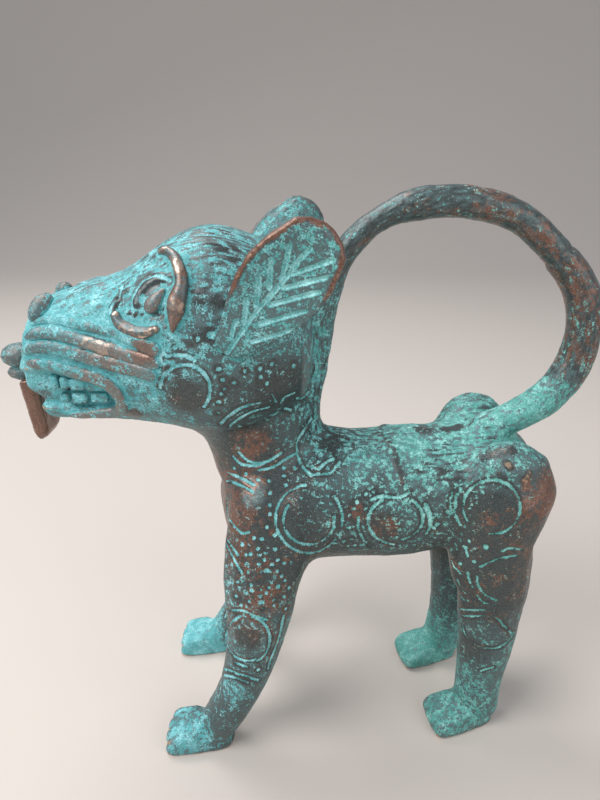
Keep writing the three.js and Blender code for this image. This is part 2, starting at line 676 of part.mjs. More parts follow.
addPiece('trunk', cut(trunkSolid(), ...legsWithGap, neckWithGap, tailRear(seatGap)), patina);
addPiece('neck', cut(neckSolid(), ...legsWithGap), patina);
addPiece('head', cut(headSolid(), neckWithGap, mouthHollow()), patina);
addPiece('tail_rear_length', cut(tailRear(), ...legsWithGap), patina);
addPiece('tail_front_length', cut(tailFront(), headWithGap, neckWithGap, trunkWithGap), patina);
addPiece('nose', nose(), patina);
addPiece('tongue', tongue(), wornBronze);
for (const [name, side] of sides) {
  addPiece(`${name}_front_leg`, frontLeg(side), patina);
  addPiece(`${name}_hind_leg`, hindLeg(side), patina);
  addPiece(`${name}_ear`, ear(side), patina);
  addPiece(`${name}_brow_rim`, browRim(side), wornBronze);
  addPiece(`${name}_lower_lid`, lowerLid(side), wornBronze);
  addPiece(`${name}_eyeball`, eyeball(side), wornBronze);
  addPiece(`${name}_nostril`, cut(nostrilSolid(side), headWithGap), patina);
  addPiece(`${name}_lip`, lip(side), wornBronze);
  addPiece(`${name}_upper_teeth`, toothRow(side, true), patina);
  addPiece(`${name}_lower_teeth`, toothRow(side, false), patina);
  for (let row = 0; row < whiskerCount; row += 1) {
    addPiece(`${name}_whisker_${row + 1}`, whisker(side, row), wornBronze);
  }
}

// The origin is on the ground under the middle of the figure.
const box = new THREE.Box3().setFromObject(leopard);
const middle = box.getCenter(new THREE.Vector3());
leopard.children.forEach((mesh) => mesh.position.set(-middle.x, -middle.y, -box.min.z));

export default leopard;
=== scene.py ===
import math

import bpy
import bmesh
import numpy as np
from mathutils import Matrix, Vector, noise
from mathutils.bvhtree import BVHTree
from mathutils.kdtree import KDTree


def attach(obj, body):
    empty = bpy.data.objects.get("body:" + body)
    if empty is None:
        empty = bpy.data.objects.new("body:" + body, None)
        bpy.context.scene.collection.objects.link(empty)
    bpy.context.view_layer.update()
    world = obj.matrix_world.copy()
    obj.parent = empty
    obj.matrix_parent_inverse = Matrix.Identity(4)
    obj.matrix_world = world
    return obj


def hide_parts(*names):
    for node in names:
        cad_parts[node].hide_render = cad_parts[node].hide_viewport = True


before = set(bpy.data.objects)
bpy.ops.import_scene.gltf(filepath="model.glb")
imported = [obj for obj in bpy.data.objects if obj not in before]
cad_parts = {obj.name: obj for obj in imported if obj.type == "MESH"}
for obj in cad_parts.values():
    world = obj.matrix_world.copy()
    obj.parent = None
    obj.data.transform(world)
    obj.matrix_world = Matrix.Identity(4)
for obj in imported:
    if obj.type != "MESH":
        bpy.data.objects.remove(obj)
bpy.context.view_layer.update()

mm = 0.001
scene = bpy.context.scene
scene.view_settings.view_transform = "Standard"

# camera: a close picture from the animal's left, looking down
cameraSettings = {
    "place": (0.14 * mm, -118 * mm, 128.2 * mm),
    "lookDown": math.radians(22),
    "lens": 27,
    "sensor": 36,
    "pictureSize": (600, 800),  # pixels
    "clipStart": 5 * mm,
}
cameraData = bpy.data.cameras.new("camera")
cameraData.lens = cameraSettings["lens"]
cameraData.sensor_width = cameraSettings["sensor"]
cameraData.clip_start = cameraSettings["clipStart"]
cameraObject = bpy.data.objects.new("camera", cameraData)
cameraObject.location = cameraSettings["place"]
cameraObject.rotation_euler = (math.pi / 2 - cameraSettings["lookDown"], 0, 0)
scene.collection.objects.link(cameraObject)
scene.camera = cameraObject
print("camera set")


def rayThrough(px, py):  # the line of sight through a pixel of the picture
    width, height = cameraSettings["pictureSize"]
    focal = cameraSettings["lens"] / cameraSettings["sensor"] * height
    across = (px - width / 2) / focal
    down = (py - height / 2) / focal
    sine = math.sin(cameraSettings["lookDown"])
    cosine = math.cos(cameraSettings["lookDown"])
    return Vector((across, cosine - down * sine, -sine - down * cosine)).normalized()


# mesh tools
def newObject(name, data):
    made = bpy.data.objects.new(name, data)
    scene.collection.objects.link(made)
    return made


def nodeShape(name):  # a merged copy of a CAD node
    bm = bmesh.new()
    bm.from_mesh(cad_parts[name].data)
    bmesh.ops.remove_doubles(bm, verts=bm.verts, dist=0.002 * mm)
    return bm


def swellShape(bm, amount):
    bm.normal_update()
    moves = [(vert, vert.normal * amount) for vert in bm.verts]
    for vert, move in moves:
        vert.co += move


def meshOf(bm, name):
    mesh = bpy.data.meshes.new(name)
    bm.to_mesh(mesh)
    bm.free()
    return mesh


def withModifier(mesh, kind, settings):  # the mesh that a modifier leaves
    holder = newObject("holder", mesh)
    modifier = holder.modifiers.new(kind, kind)
    for key, value in settings.items():
        setattr(modifier, key, value)
    graph = bpy.context.evaluated_depsgraph_get()
    made = bpy.data.meshes.new_from_object(holder.evaluated_get(graph))
    bpy.data.objects.remove(holder)
    return made


def remeshed(mesh, voxel):
    return withModifier(mesh, "REMESH", {"mode": "VOXEL", "voxel_size": voxel, "use_smooth_shade": True})


def readOut(items, key, width, kind):  # a collection's values as an array
    values = np.empty(len(items) * width, kind)
    items.foreach_get(key, values)
    return values.reshape(-1, width)


def pointsOf(mesh):
    return readOut(mesh.vertices, "co", 3, np.float32).astype(float)


def normalsOf(mesh):
    return readOut(mesh.vertex_normals, "vector", 3, np.float32).astype(float)


def edgesOf(mesh):
    return readOut(mesh.edges, "vertices", 2, np.int32)


def setPoints(mesh, points):
    mesh.vertices.foreach_set("co", points.astype(np.float32).ravel())
    mesh.update()


def treeOf(mesh):
    holder = newObject("holder", mesh)
    tree = BVHTree.FromObject(holder, bpy.context.evaluated_depsgraph_get())
    bpy.data.objects.remove(holder)
    return tree


keepVolume = (0.6, -0.62)  # a pull towards the neighbours, and a push back so that nothing shrinks
justSmooth = (0.6,)


def eased(points, edges, rounds, pulls, weight=1.0):
    count = np.maximum(np.bincount(edges.ravel(), minlength=len(points)), 1)[:, None]
    weight = np.broadcast_to(np.asarray(weight, float), (len(points),))[:, None]
    for step in range(rounds):
        for pull in pulls:
            mean = np.empty_like(points)
            for axis in range(points.shape[1]):
                mean[:, axis] = np.bincount(edges[:, 0], points[edges[:, 1], axis], len(points))
                mean[:, axis] += np.bincount(edges[:, 1], points[edges[:, 0], axis], len(points))
            points = points + pull * weight * (mean / count - points)
    return points


def curveOf(mesh):  # above 0 in hollows, below 0 on edges, about 1 at a bend of a millimetre
    points = pointsOf(mesh)
    mean = eased(points, edgesOf(mesh), 10, justSmooth)
    return np.einsum("ij,ij->i", mean - points, normalsOf(mesh)) / (0.10 * mm)


def smoothRamp(values, low, high):
    t = np.clip((values - low) / (high - low), 0, 1)
    return t * t * (3 - 2 * t)


def toSide(points, sign):  # every point brought to one side of the middle plane
    moved = points.copy()
    moved[:, 1] = sign * np.abs(moved[:, 1])
    return moved


def bothSides(*spots):
    return [(x, sign * y, z, radius) for x, y, z, radius in spots for sign in (-1, 1)]


def flat(table):  # the entries of all its groups
    return [entry for group in table.values() for entry in group]


def nearness(points, spots):  # 0 to 1, how close each point is to any of some spots (x, y, z, radius in mm)
    best = np.zeros(len(points))
    for x, y, z, radius in spots:
        away = np.linalg.norm(points - np.array((x, y, z)) * mm, axis=1) / (radius * mm)
        best = np.maximum(best, np.clip(1.5 - away, 0, 1))
    return best


def noiseAt(points, size, stretch=(1, 1, 1), shift=0.0):  # -1 to 1, with grains about this size
    # a shift gives other grains of the same size
    scaled = points / np.array(stretch) / size + shift
    return np.array([noise.noise(point) for point in scaled.tolist()])


# cast skin: the modelled masses run into one another, as they did in the wax
skinSettings = {
    "nodes": ["trunk", "neck", "head", "left_front_leg", "right_front_leg", "left_hind_leg",
              "right_hind_leg", "tail_rear_length", "tail_front_length"],
    "swell": 0.22 * mm,  # closes the seat gaps between the solids
    "swellBack": 0.8,  # share of the swell that is taken off again
    "coarse": 0.6 * mm,
    "fine": 0.295 * mm,
    "rounds": 34,
    "trimRounds": 6,
    "fineRounds": 5,
    "crisp": [(-47, 0, 85, 13), (-28, -15, 3, 8), (-30, 15, 3, 8)],
    "crispHold": 0.93,  # share of the smoothing that these spots are spared
    "fillets": bothSides((-8, 12, 62, 9), (4, 11, 47, 8), (-4, 9, 72, 8), (37, 6, 74, 6)) + [
        (-15, 0, 48, 9), (34, -11, 56, 9), (33, 11, 56, 9), (36, 0, 46, 8), (-7, 0, 74, 10), (3, 0, 72, 8),
        (-14, 0, 78, 9), (2, 0, 90, 4), (4, 0, 100, 4), (32, -10, 4, 6), (28, 10, 4, 6), (52, -9, 62, 7),
        (50, 9, 62, 7)],
    "filletRounds": 26,
    "deepFillets": bothSides((-20, 7, 75, 6), (4, 11, 47, 7)) + [
        (-22, 0, 74, 6), (5, 0, 77, 7), (32, -11, 68, 8), (34, -7, 73, 6), (32, -13, 60, 8), (30, 11, 68, 8),
        (33, 7, 73, 6), (30, 13, 60, 8), (11, 0, 76, 7)],
    "deepRounds": 80,
    # a pull is its place, its radius and its move, in mm, the same on both sides
    "pulls": [((-53, 5, 88.5), 6, (-2.4, 0, -1.5)), ((-55, 0, 87), 5, (-1.5, 0, -0.8)),
              ((-52, 4, 82), 5, (1.8, 0, 0.3)), ((-53, 4, 99), 5, (0.5, 0, 0)),
              ((-20, 12, 44), 14, (-0.9, 0, 0)), ((-20, 12, 56), 9, (-0.6, 0, 0)),
              ((50, 9, 67), 9, (1.2, 0, 0.7)), ((50, 9, 54), 7, (-1.2, 0, 0)),
              ((34, 12, 46), 8, (-1.5, 0, 0)), ((42, 12, 28), 9, (1.1, 0, 0)),
              ((8, 0, 75), 7, (0.8, 0, 1.2)), ((48.5, 3, 73.5), 7.5, (-3.0, 0, -0.4)),
              ((56, 1, 78), 8, (-0.3, 0, 0.3))],
    "pullRamp": (1, 0.15),  # radii from none to full
    "tailCentre": (30.9 * mm, 94.8 * mm),  # x and z of the middle of the tail's ring
    "tailFrom": ((3.5 * mm, 5.5 * mm), (77 * mm, 80 * mm)),  # x and z over which the skin becomes tail
    "tailHalf": 6 * mm,  # no point of the tail is further from the middle plane
    # degrees where the tail is thinned, from none to full and to none again, and by how much
    "tailTrims": [(34, 46, 60, 80, 0.5 * mm), (106, 124, 142, 160, 0.65 * mm)],
    # degrees, half width and depth of the step where the front length laps over
    "lapGroove": (40, 2.0, 0.4 * mm),
    "handLumps": (9 * mm, 0.20 * mm),  # grain and height of the uneven modelling
    "smallLumps": (2.6 * mm, 0.09 * mm),
    "pits": (0.75 * mm, 0.05 * mm),
}


def aroundTail(points):  # how much each point is tail, and its degrees and distance around the ring's middle
    x, z = skinSettings["tailCentre"]
    alongX, upZ = skinSettings["tailFrom"]
    tail = smoothRamp(points[:, 0], *alongX) * smoothRamp(points[:, 2], *upZ)
    tail *= np.abs(points[:, 1]) < skinSettings["tailHalf"]
    turn = np.degrees(np.arctan2(points[:, 2] - z, points[:, 0] - x))
    return tail, turn, np.hypot(points[:, 0] - x, points[:, 2] - z)


def castSkin():
    whole = bmesh.new()
    for name in skinSettings["nodes"]:
        part = nodeShape(name)
        swellShape(part, skinSettings["swell"])
        whole.from_mesh(meshOf(part, "part"))
    mesh = remeshed(meshOf(whole, "whole"), skinSettings["coarse"])
    points = pointsOf(mesh)
    edges = edgesOf(mesh)
    soft = 1 - skinSettings["crispHold"] * nearness(points, skinSettings["crisp"])
    points = eased(points, edges, skinSettings["rounds"], keepVolume, soft)
    for spots, rounds in (("fillets", "filletRounds"), ("deepFillets", "deepRounds")):
        joined = nearness(points, skinSettings[spots])
        points = eased(points, edges, skinSettings[rounds], justSmooth, joined)
    folded = toSide(points, 1)
    for place, radius, move in skinSettings["pulls"]:
        away = np.linalg.norm(folded - np.array(place) * mm, axis=1) / (radius * mm)
        points = points + smoothRamp(away, *skinSettings["pullRamp"])[:, None] * np.array(move) * mm
    tail, turn = aroundTail(points)[:2]
    middle, half, depth = skinSettings["lapGroove"]
    trim = depth * smoothRamp(np.abs(turn - middle), half, 0)
    for first, full, falling, last, amount in skinSettings["tailTrims"]:
        trim += amount * smoothRamp(turn, first, full) * smoothRamp(turn, last, falling)
    setPoints(mesh, points)
    points = points - normalsOf(mesh) * (tail * trim)[:, None]
    points = eased(points, edges, skinSettings["trimRounds"], keepVolume, soft)
    setPoints(mesh, points)
    setPoints(mesh, points - normalsOf(mesh) * skinSettings["swell"] * skinSettings["swellBack"])
    fine = remeshed(mesh, skinSettings["fine"])
    setPoints(fine, eased(pointsOf(fine), edgesOf(fine), skinSettings["fineRounds"], keepVolume))
    return fine


skin = castSkin()
print("cast skin", len(skin.vertices), "points")


# spot marks: incised arcs, double lines and punched dots, each given by pixels of the picture
markSettings = {
    "lineWidth": 0.66 * mm,
    "lineDepth": 0.30 * mm,
    "dotRadius": 0.43 * mm,
    "dotDepth": 0.34 * mm,
    "bigDot": 1.6,  # times the size of the other dots
    "step": 1.0,  # pixels between the points of a line
    "waver": (2.2 * mm, 0.35),  # grain and share of a mark's uneven width
    "burr": (0.2, 1.45, 0.6),  # height, place and half width of the rim that a cut throws up
    "filled": (1.08, 0.65),  # half widths from none to full: salts fill a mark a little past its cut
    "beside": (3.0, 1.6),  # half widths from none to full of the strip along a mark
    "fallen": (3.5 * mm, -0.45, 0.15),  # grain and ramp of the places where salts have fallen out
    "leastFill": 0.4,
    "faint": [(44, -12, 36, 16), (42, 12, 36, 16)],  # the salts have partly gone from the hind legs' marks
    "faintLoss": 0.45,
    "ridgeFull": 0.1 * mm,  # a raised line has its full height this close to its middle
    "bedMargin": 0.7 * mm,  # the skin swells this far around a bar that is laid on it
    "bedRise": 0.35 * mm,
    "bedFull": 0.3,  # share of that width which has the full height
    "bedReach": 3 * mm,  # more than any bed's half width
    "soles": (0.3 * mm, 1.2 * mm),  # heights over which the relief begins, so that the soles stay flat
}
# an arc is its centre, its half width and height, and its first and last angle, clockwise from the right
markArcs = {
    "shoulderRing": [
        ((309, 520), (25.5, 24.5), -8, 218), ((309, 519), (33.5, 34), 150, 263),
        ((309, 519), (33.5, 34), -42, 12), ((309, 519), (33.5, 34), 38, 146)],
    "flankRing": [
        ((396, 521), (28, 23.5), 95, 240), ((396, 518), (27, 22), -55, 75),
        ((392, 523), (34, 31), 125, 190), ((398, 520), (33, 27), -35, 30)],
    "hipRing": [
        ((491.8, 507), (28.7, 27), -175, 95), ((491.8, 507), (28.7, 27), 150, 178),
        ((490, 507), (35, 34), 148, 212), ((489, 505), (38.5, 36), 165, 200)],
    "cheekRing": [((185, 390), (25, 25.5), 185, 400)],
    "legRing": [((248, 638), (22, 23), 70, 250), ((246, 640), (24, 24), -75, 60)],
    "shankOval": [((489, 625), (26, 24), 20, 178)],
}
markLines = {
    "neckArcs": [
        [(221, 423), (232, 413), (246, 406), (264, 402)],
        [(230, 426), (237, 420), (249, 413), (269, 407)]],
    "napeLine": [
        [(312, 418), (303, 431), (297, 442), (298, 456), (303, 467), (311, 475)],
        [(311, 475), (319, 474), (330, 473), (336, 467), (340, 462)],
        [(319, 469), (326, 462), (333, 459)]],
    "neckBase": [
        [(239, 453), (248, 461), (259, 463), (270, 460), (281, 453)],
        [(259, 470), (273, 467), (284, 460), (295, 454)],
        [(233, 457), (241, 464), (256, 466), (266, 462)]],
    "chestLines": [[(228, 473), (241, 478), (254, 485)], [(227, 481), (238, 484), (253, 492)]],
    "chestOval": [[(227, 498), (228, 516), (234, 526), (242, 533), (249, 532)]],
    "legFront": [[(225, 538), (232, 547), (238, 555)], [(225, 543), (234, 559), (242, 573)]],
    "legRingTop": [[(225, 617), (228, 611), (236, 610), (244, 611), (254, 616), (266, 620)]],
    "legEdge": [[(284, 616), (282, 624), (280, 636), (276, 648), (271, 659), (268, 669)]],
    "wristLines": [
        [(219, 668), (229, 670), (239, 674), (258, 680)], [(224, 675), (234, 677), (248, 683)],
        [(235, 663), (241, 665), (246, 667)]],
    "flankTop": [
        [(371, 500), (380, 496), (389, 497), (401, 497), (410, 492)],
        [(425, 507), (429, 516), (430, 525), (434, 528)]],
    "thighArcs": [
        [(502, 551), (510, 548), (523, 550)], [(480, 567), (491, 562), (503, 558), (516, 556)],
        [(477, 577), (478, 585), (483, 593), (491, 598), (497, 601)],
        [(477, 596), (483, 602), (491, 605), (496, 605)]],
    "thighStrokes": [
        [(451.5, 561.5), (454, 568)], [(456, 569), (460, 574)], [(457.5, 580), (459, 586)],
        [(464, 547), (466, 551), (467.5, 556)], [(460, 594), (462, 598), (465, 601)],
        [(468, 573), (468.5, 578), (470, 583)], [(460, 588), (463, 592), (466, 594)]],
    "hockLines": [
        [(460, 609), (471, 610), (495, 611)], [(481, 671), (486, 669), (493, 667)],
        [(464, 616), (478, 616), (497, 619), (504, 626), (511, 633)]],
    "cheekLines": [
        [(163, 350), (167, 355), (178, 355), (187, 356), (195, 360)], [(162, 351), (161, 364)]],
    "earRoot": [[(225, 352), (233, 348), (237, 345)], [(226, 346), (233, 337)], [(238, 339), (247, 332)]],
    "napeCurls": [
        [(281, 403), (285, 397), (294, 393)], [(297, 398), (303, 398), (308, 393)],
        [(272, 394), (276, 402)], [(285, 408), (291, 410)]],
    "socketLine": [
        [(133, 312), (132, 300), (137, 291), (144, 281), (157, 276), (170, 280)],
        [(122, 286), (121, 296), (115, 304), (112, 314)]],
}
markDots = {
    "neck": [
        (234, 468), (246, 474), (258, 480), (269, 481), (284, 468), (295, 468), (284, 476), (286, 485)],
    "shoulder": [
        (270, 493), (270, 505), (270, 514), (267, 527), (275, 535), (254, 538), (262, 539), (276, 549),
        (242, 544), (250, 554)],
    "flank": [
        (366, 494), (374, 492), (357, 502), (350, 516), (354, 509), (366, 509), (349, 528), (335, 544),
        (344, 542), (351, 540), (348, 547), (355, 546)],
    "hip": [(449, 512), (437, 525), (433, 518), (461, 534), (469, 541), (460, 564), (466, 548)],
    "thigh": [(467.5, 600.5), (472, 587), (474, 562)],
    "foreleg": [
        (242, 545), (258, 549), (275, 549), (246, 555), (251, 554), (264, 560), (259, 564), (272, 565),
        (284, 563), (291, 563), (248, 572), (261, 572), (282, 576), (259, 581), (251, 585), (285, 581),
        (289, 588), (261, 590), (252, 591), (236, 596), (249, 601), (274, 600), (284, 597), (274, 606),
        (264, 609), (286, 609), (241, 605), (278, 571), (278, 560), (266, 593), (238, 582), (269, 588),
        (258, 670)],
    "cheek": [
        (219, 369), (223, 380), (234, 383), (224, 389), (245, 371), (260, 369), (261, 377), (272, 364),
        (267, 383), (294, 366), (198, 339), (175, 348), (244, 348), (221, 394), (219, 402), (218, 413)],
}
bigDots = {
    "foreleg": [(247, 565), (267, 571), (278, 587), (261, 597), (262, 603)],
    "cheek": [(211, 335)],
    "hip": [(486, 547)],
}
# a bar is a roll of wax laid on the head: its line in pixels, its width and height in mm
# finish: verdigris, brown and wear of a piece's crest
barPieces = {
    "whisker_3": {
        "bar": [(31, 325), (44, 320), (58, 320), (77, 324), (96, 328), (115, 333), (133, 341), (160, 352)],
        "width": (1.6, 2.1, 2.2, 3.3), "height": 0.65, "finish": (0.60, 0.36, 0.08)},
    "whisker_2": {
        "bar": [(26, 338), (38, 333), (52, 333), (67, 336), (83, 341), (102, 347), (121, 353), (160, 366)],
        "width": (2.5, 2.9, 3.1, 3.1), "height": 0.85, "finish": (0.54, 0.34, 0.34)},
    "whisker_1": {
        "bar": [(23, 351), (36, 347), (50, 347), (67, 351), (83, 356), (102, 361), (121, 366), (157, 376)],
        "width": (2.5, 2.9, 3.1, 3.0), "height": 0.85, "finish": (0.53, 0.42, 0.20)},
    "lip": {
        "bar": [(27, 363), (48, 364), (67, 370), (86, 375), (102, 381), (112, 388), (119, 397), (122, 406),
                (116, 412), (104, 413), (88, 414), (70, 415)],
        "width": (2.2, 2.7, 2.5, 1.7), "height": 0.85, "finish": (0.47, 0.56, 0.16)},
    # the brow rim and the lower lid have high wear, which gives their crests pale bare metal: partly rubbed
    # metal, partly a painted highlight
    "brow_rim": {
        "bar": [(159, 254), (164, 252), (170, 253), (176, 259), (178, 266), (181, 275), (182, 283),
                (180, 291), (177, 300), (176, 309), (175, 318), (174, 327), (173, 333)],
        "width": (1.2, 1.6, 2.0, 2.2, 2.3, 2.5, 2.7, 3.2, 3.6, 3.5, 2.7, 1.5, 0.6), "height": 1.15,
        "finish": (0.29, 0.34, 0.45)},
    "lower_lid": {
        "bar": [(114, 311), (117, 320), (124, 327), (135, 332), (148, 332), (161, 327)],
        "width": (1.6, 2.4, 2.4, 1.4), "height": 0.75, "finish": (0.32, 0.26, 0.52)},
}
# a raised line is its pixels, its width and height in mm, and the verdigris, brown and wear that it adds
raisedLines = {
    "backSeam": ([(379, 434), (387, 442), (395, 450), (396, 463), (402, 476), (401, 483)], 2.4, 0.28,
                 (-0.24, 0.25, -0.6)),
    "socketRidge": ([(128, 290), (120, 296), (115, 305), (114, 315)], 2.0, 0.35, (-0.35, 0.05, -0.6)),
    "upperLid": ([(136, 304), (138, 296), (146, 286), (156, 279), (168, 277)], 2.4, 0.35, (-0.3, 0.0, -0.6)),
    "lidInside": ([(146, 318), (158, 322), (166, 318)], 1.6, 0.25, (-0.05, 0.0, -0.6)),
    "bridgeEdge": ([(70, 297), (78, 293), (88, 289), (102, 284)], 2.4, 0.35, (-0.25, 0.0, -0.6)),
    "bridgeStep": ([(70, 290), (78, 288), (86, 286)], 3.0, 0.35, (-0.10, 0.0, -0.6)),
}


def arcPixels(centre, radii, first, last):
    count = max(6, int(abs(last - first) / 4))
    turns = [math.radians(first + (last - first) * step / count) for step in range(count + 1)]
    return [(centre[0] + radii[0] * math.cos(turn), centre[1] + radii[1] * math.sin(turn)) for turn in turns]


def linePixels(corners):  # a smooth line through its corners
    padded = [corners[0]] + list(corners) + [corners[-1]]
    pixels = []
    for a, b, c, d in zip(padded, padded[1:], padded[2:], padded[3:]):
        count = max(2, int(math.dist(b, c) / markSettings["step"]))
        for step in range(count):
            t = step / count
            pixels.append(tuple(
                0.5 * (2 * b[k] + (c[k] - a[k]) * t + (2 * a[k] - 5 * b[k] + 4 * c[k] - d[k]) * t ** 2
                       + (3 * b[k] - a[k] - 3 * c[k] + d[k]) * t ** 3) for k in (0, 1)))
    return pixels + [corners[-1]]


def onSurface(tree, pixels):  # where the lines of sight meet a surface
    hits = [tree.ray_cast(Vector(cameraSettings["place"]), rayThrough(*pixel))[0] for pixel in pixels]
    return [hit for hit in hits if hit is not None]


def twinned(tree, pixels):  # these places, and their twins on the far side
    hits = onSurface(tree, pixels)
    return hits + [tree.find_nearest(Vector((hit.x, -hit.y, hit.z)))[0] for hit in hits]


def distanceTo(points, targets, reach=2.5 * mm):  # measured only where a target is within reach
    def cellKeys(cells):
        return (cells[:, 0] * 4096 + cells[:, 1]) * 4096 + cells[:, 2]

    tree = KDTree(len(targets))
    for index, target in enumerate(targets):
        tree.insert(target, index)
    tree.balance()
    targetCells = np.unique(np.floor(np.array(targets) / reach).astype(int), axis=0)
    around = np.array([(i, j, k) for i in (-1, 0, 1) for j in (-1, 0, 1) for k in (-1, 0, 1)])
    busyKeys = cellKeys((targetCells[:, None, :] + around[None, :, :]).reshape(-1, 3))
    busy = np.isin(cellKeys(np.floor(points / reach).astype(int)), busyKeys)
    distances = np.full(len(points), 10 * reach)
    distances[busy] = [tree.find(point)[2] for point in points[busy].tolist()]
    return distances


def cutProfile(share):  # 1 along the middle of a cut, and a slight burr beside it
    rise, place, half = markSettings["burr"]
    return smoothRamp(share, 1, 0.15) - rise * smoothRamp(np.abs(share - place), half, 0)


def markedSkin(mesh):
    tree = treeOf(mesh)
    points = pointsOf(mesh)
    normals = normalsOf(mesh)
    lines = [arcPixels(*arc) for arc in flat(markArcs)]
    lines += [linePixels(corners) for corners in flat(markLines)]
    marks = [([hit for line in lines for hit in twinned(tree, line)], markSettings["lineWidth"] / 2)]
    for table, size in ((markDots, 1), (bigDots, markSettings["bigDot"])):
        marks.append((twinned(tree, flat(table)), size * markSettings["dotRadius"]))
    grain, amount = markSettings["waver"]
    waver = 1 + amount * noiseAt(points, grain)
    shares = [distanceTo(points, hits) / (half * waver) for hits, half in marks]
    cuts, dots, bigs = [cutProfile(share) for share in shares]
    dots = np.maximum(dots, bigs)
    closest = np.minimum.reduce(shares)
    height = np.zeros(len(points))
    added = np.zeros((len(points), 3))
    for corners, width, rise, finish in raisedLines.values():
        ridgeHits = twinned(tree, linePixels(corners))
        ridge = smoothRamp(distanceTo(points, ridgeHits), width * mm / 2, markSettings["ridgeFull"])
        height += ridge * rise * mm
        added += ridge[:, None] * np.array(finish)
    for settings in barPieces.values():
        bedHits = twinned(tree, linePixels(settings["bar"]))
        reach = max(settings["width"]) * mm / 2 + markSettings["bedMargin"]
        away = distanceTo(points, bedHits, markSettings["bedReach"])
        height += markSettings["bedRise"] * smoothRamp(away, reach, markSettings["bedFull"] * reach)
    lineCut = cuts * markSettings["lineDepth"]
    dotCut = dots * markSettings["dotDepth"]
    height -= np.where(np.abs(cuts) > np.abs(dots), lineCut, dotCut)
    for shift, key in enumerate(("handLumps", "smallLumps", "pits")):
        size, rise = skinSettings[key]
        height += rise * noiseAt(points, size, shift=7.3 * shift)
    ground = smoothRamp(points[:, 2], *markSettings["soles"])
    setPoints(mesh, points + normals * (height * ground)[:, None])
    grain, low, high = markSettings["fallen"]
    full = smoothRamp(noiseAt(points, grain, shift=2.9), low, high)
    least = markSettings["leastFill"]
    kept = 1 - markSettings["faintLoss"] * nearness(points, markSettings["faint"])
    fill = smoothRamp(closest, *markSettings["filled"]) * kept * (least + (1 - least) * full)
    return fill, smoothRamp(closest, *markSettings["beside"]), added


markFill, besideMark, ridgeFinish = markedSkin(skin)
print("marks cut")


# wax pieces laid on the head: bars, pressed beads, rows of teeth, and the ears, nose and tongue
# a bead is its middle in pixels, its half sizes across, up and outwards in mm, and its turn in degrees
# a block is its middle in pixels, its width and height in mm, on the plane of the row's face
skinTree = treeOf(skin)
laidSettings = {
    "grain": 0.21 * mm,
    "rounds": 8,
    "pulls": (0.6, -0.63),  # as keepVolume, and a little fuller
    "lumps": [(2.2 * mm, 0.10 * mm, 3.1), (0.7 * mm, 0.04 * mm, 0.0)],  # grain, height and shift
    "ringSides": 14,
    "toothDepth": 3 * mm,
    "toothBevel": 0.35 * mm,
}
pairedPieces = {kind: settings | {"slot": "worn_bronze"} for kind, settings in barPieces.items()} | {
    "eyeball": {"beads": [((155.5, 300.5), (1.35, 2.75, 1.1), -36)], "taper": 0.45, "slot": "worn_bronze",
                "finish": (0.42, 0.45, 0.26)},
    "nostril": {"beads": [((41, 308), (2.0, 3.5, 2.0), 8)], "slot": "patina", "finish": (0.46, 0.60, 0.20)},
    "upper_teeth": {"blocks": [(52, 384, 1.8, 2.6), (63, 384, 1.5, 2.3), (77, 385, 2.8, 2.5),
                               (95, 386, 3.3, 2.5)],
                    "face": -11.4 * mm, "rounds": 6, "slot": "patina", "finish": (0.62, 0.05, 0.0)},
    "lower_teeth": {"blocks": [(64, 399, 1.7, 1.9), (79, 399, 2.9, 2.1), (99, 398, 3.4, 2.1)],
                    "face": -10.6 * mm, "rounds": 6, "slot": "patina", "finish": (0.62, 0.05, 0.0)},
    "ear": {"swell": 0.28, "rounds": 12, "slot": "patina", "finish": (0.48, 0.14, 0.02)},
}
middlePieces = {
    "nose": {"swell": 0.12, "rounds": 12, "slot": "patina", "finish": (0.46, 0.45, 0.18)},
    "tongue": {"swell": 0.25, "thicken": 1.6, "tip": 1.4, "slot": "worn_bronze", "finish": (0.18, 1.0, 0.1)},
}


def seatAt(pixel, side):  # the place and outward direction on the skin that a pixel shows, or its twin
    place, normal = skinTree.ray_cast(Vector(cameraSettings["place"]), rayThrough(*pixel))[:2]
    if side == "right_" and place is not None:
        place, normal = skinTree.find_nearest(Vector((place.x, -place.y, place.z)))[:2]
    return place, normal


def barShape(settings, side):  # rings along a line on the skin, bridged and capped
    shape = bmesh.new()
    seats = [seatAt(pixel, side) for pixel in linePixels(settings["bar"])[::3]]
    seats = [seat for seat in seats if seat[0] is not None]
    last = len(seats) - 1
    stops = np.linspace(0, 1, len(settings["width"]))
    rings = []
    for index, seat in enumerate(seats):
        ahead = (seats[min(index + 2, last)][0] - seats[max(index - 2, 0)][0]).normalized()
        outward = sum((near[1] for near in seats[max(index - 3, 0):index + 4]), Vector()).normalized()
        across = ahead.cross(outward).normalized()
        along = index / last
        width = np.interp(along, stops, settings["width"]) * mm / 2
        blunt = math.sqrt(min(1, 0.2 + 12 * min(along, 1 - along)))  # rounds the ends
        axes = (across * width * blunt, outward * settings["height"] * mm * blunt, ahead)
        turned = Matrix(axes).transposed()
        ring = bmesh.ops.create_circle(shape, segments=laidSettings["ringSides"], radius=1)["verts"]
        bmesh.ops.transform(shape, verts=ring, matrix=Matrix.Translation(seat[0]) @ turned.to_4x4())
        rings.append([edge for edge in shape.edges if edge.verts[0] in ring and edge.verts[1] in ring])
    for first, second in zip(rings, rings[1:]):
        bmesh.ops.bridge_loops(shape, edges=first + second)
    bmesh.ops.holes_fill(shape, edges=rings[0] + rings[-1], sides=0)
    bmesh.ops.recalc_face_normals(shape, faces=shape.faces)
    return shape


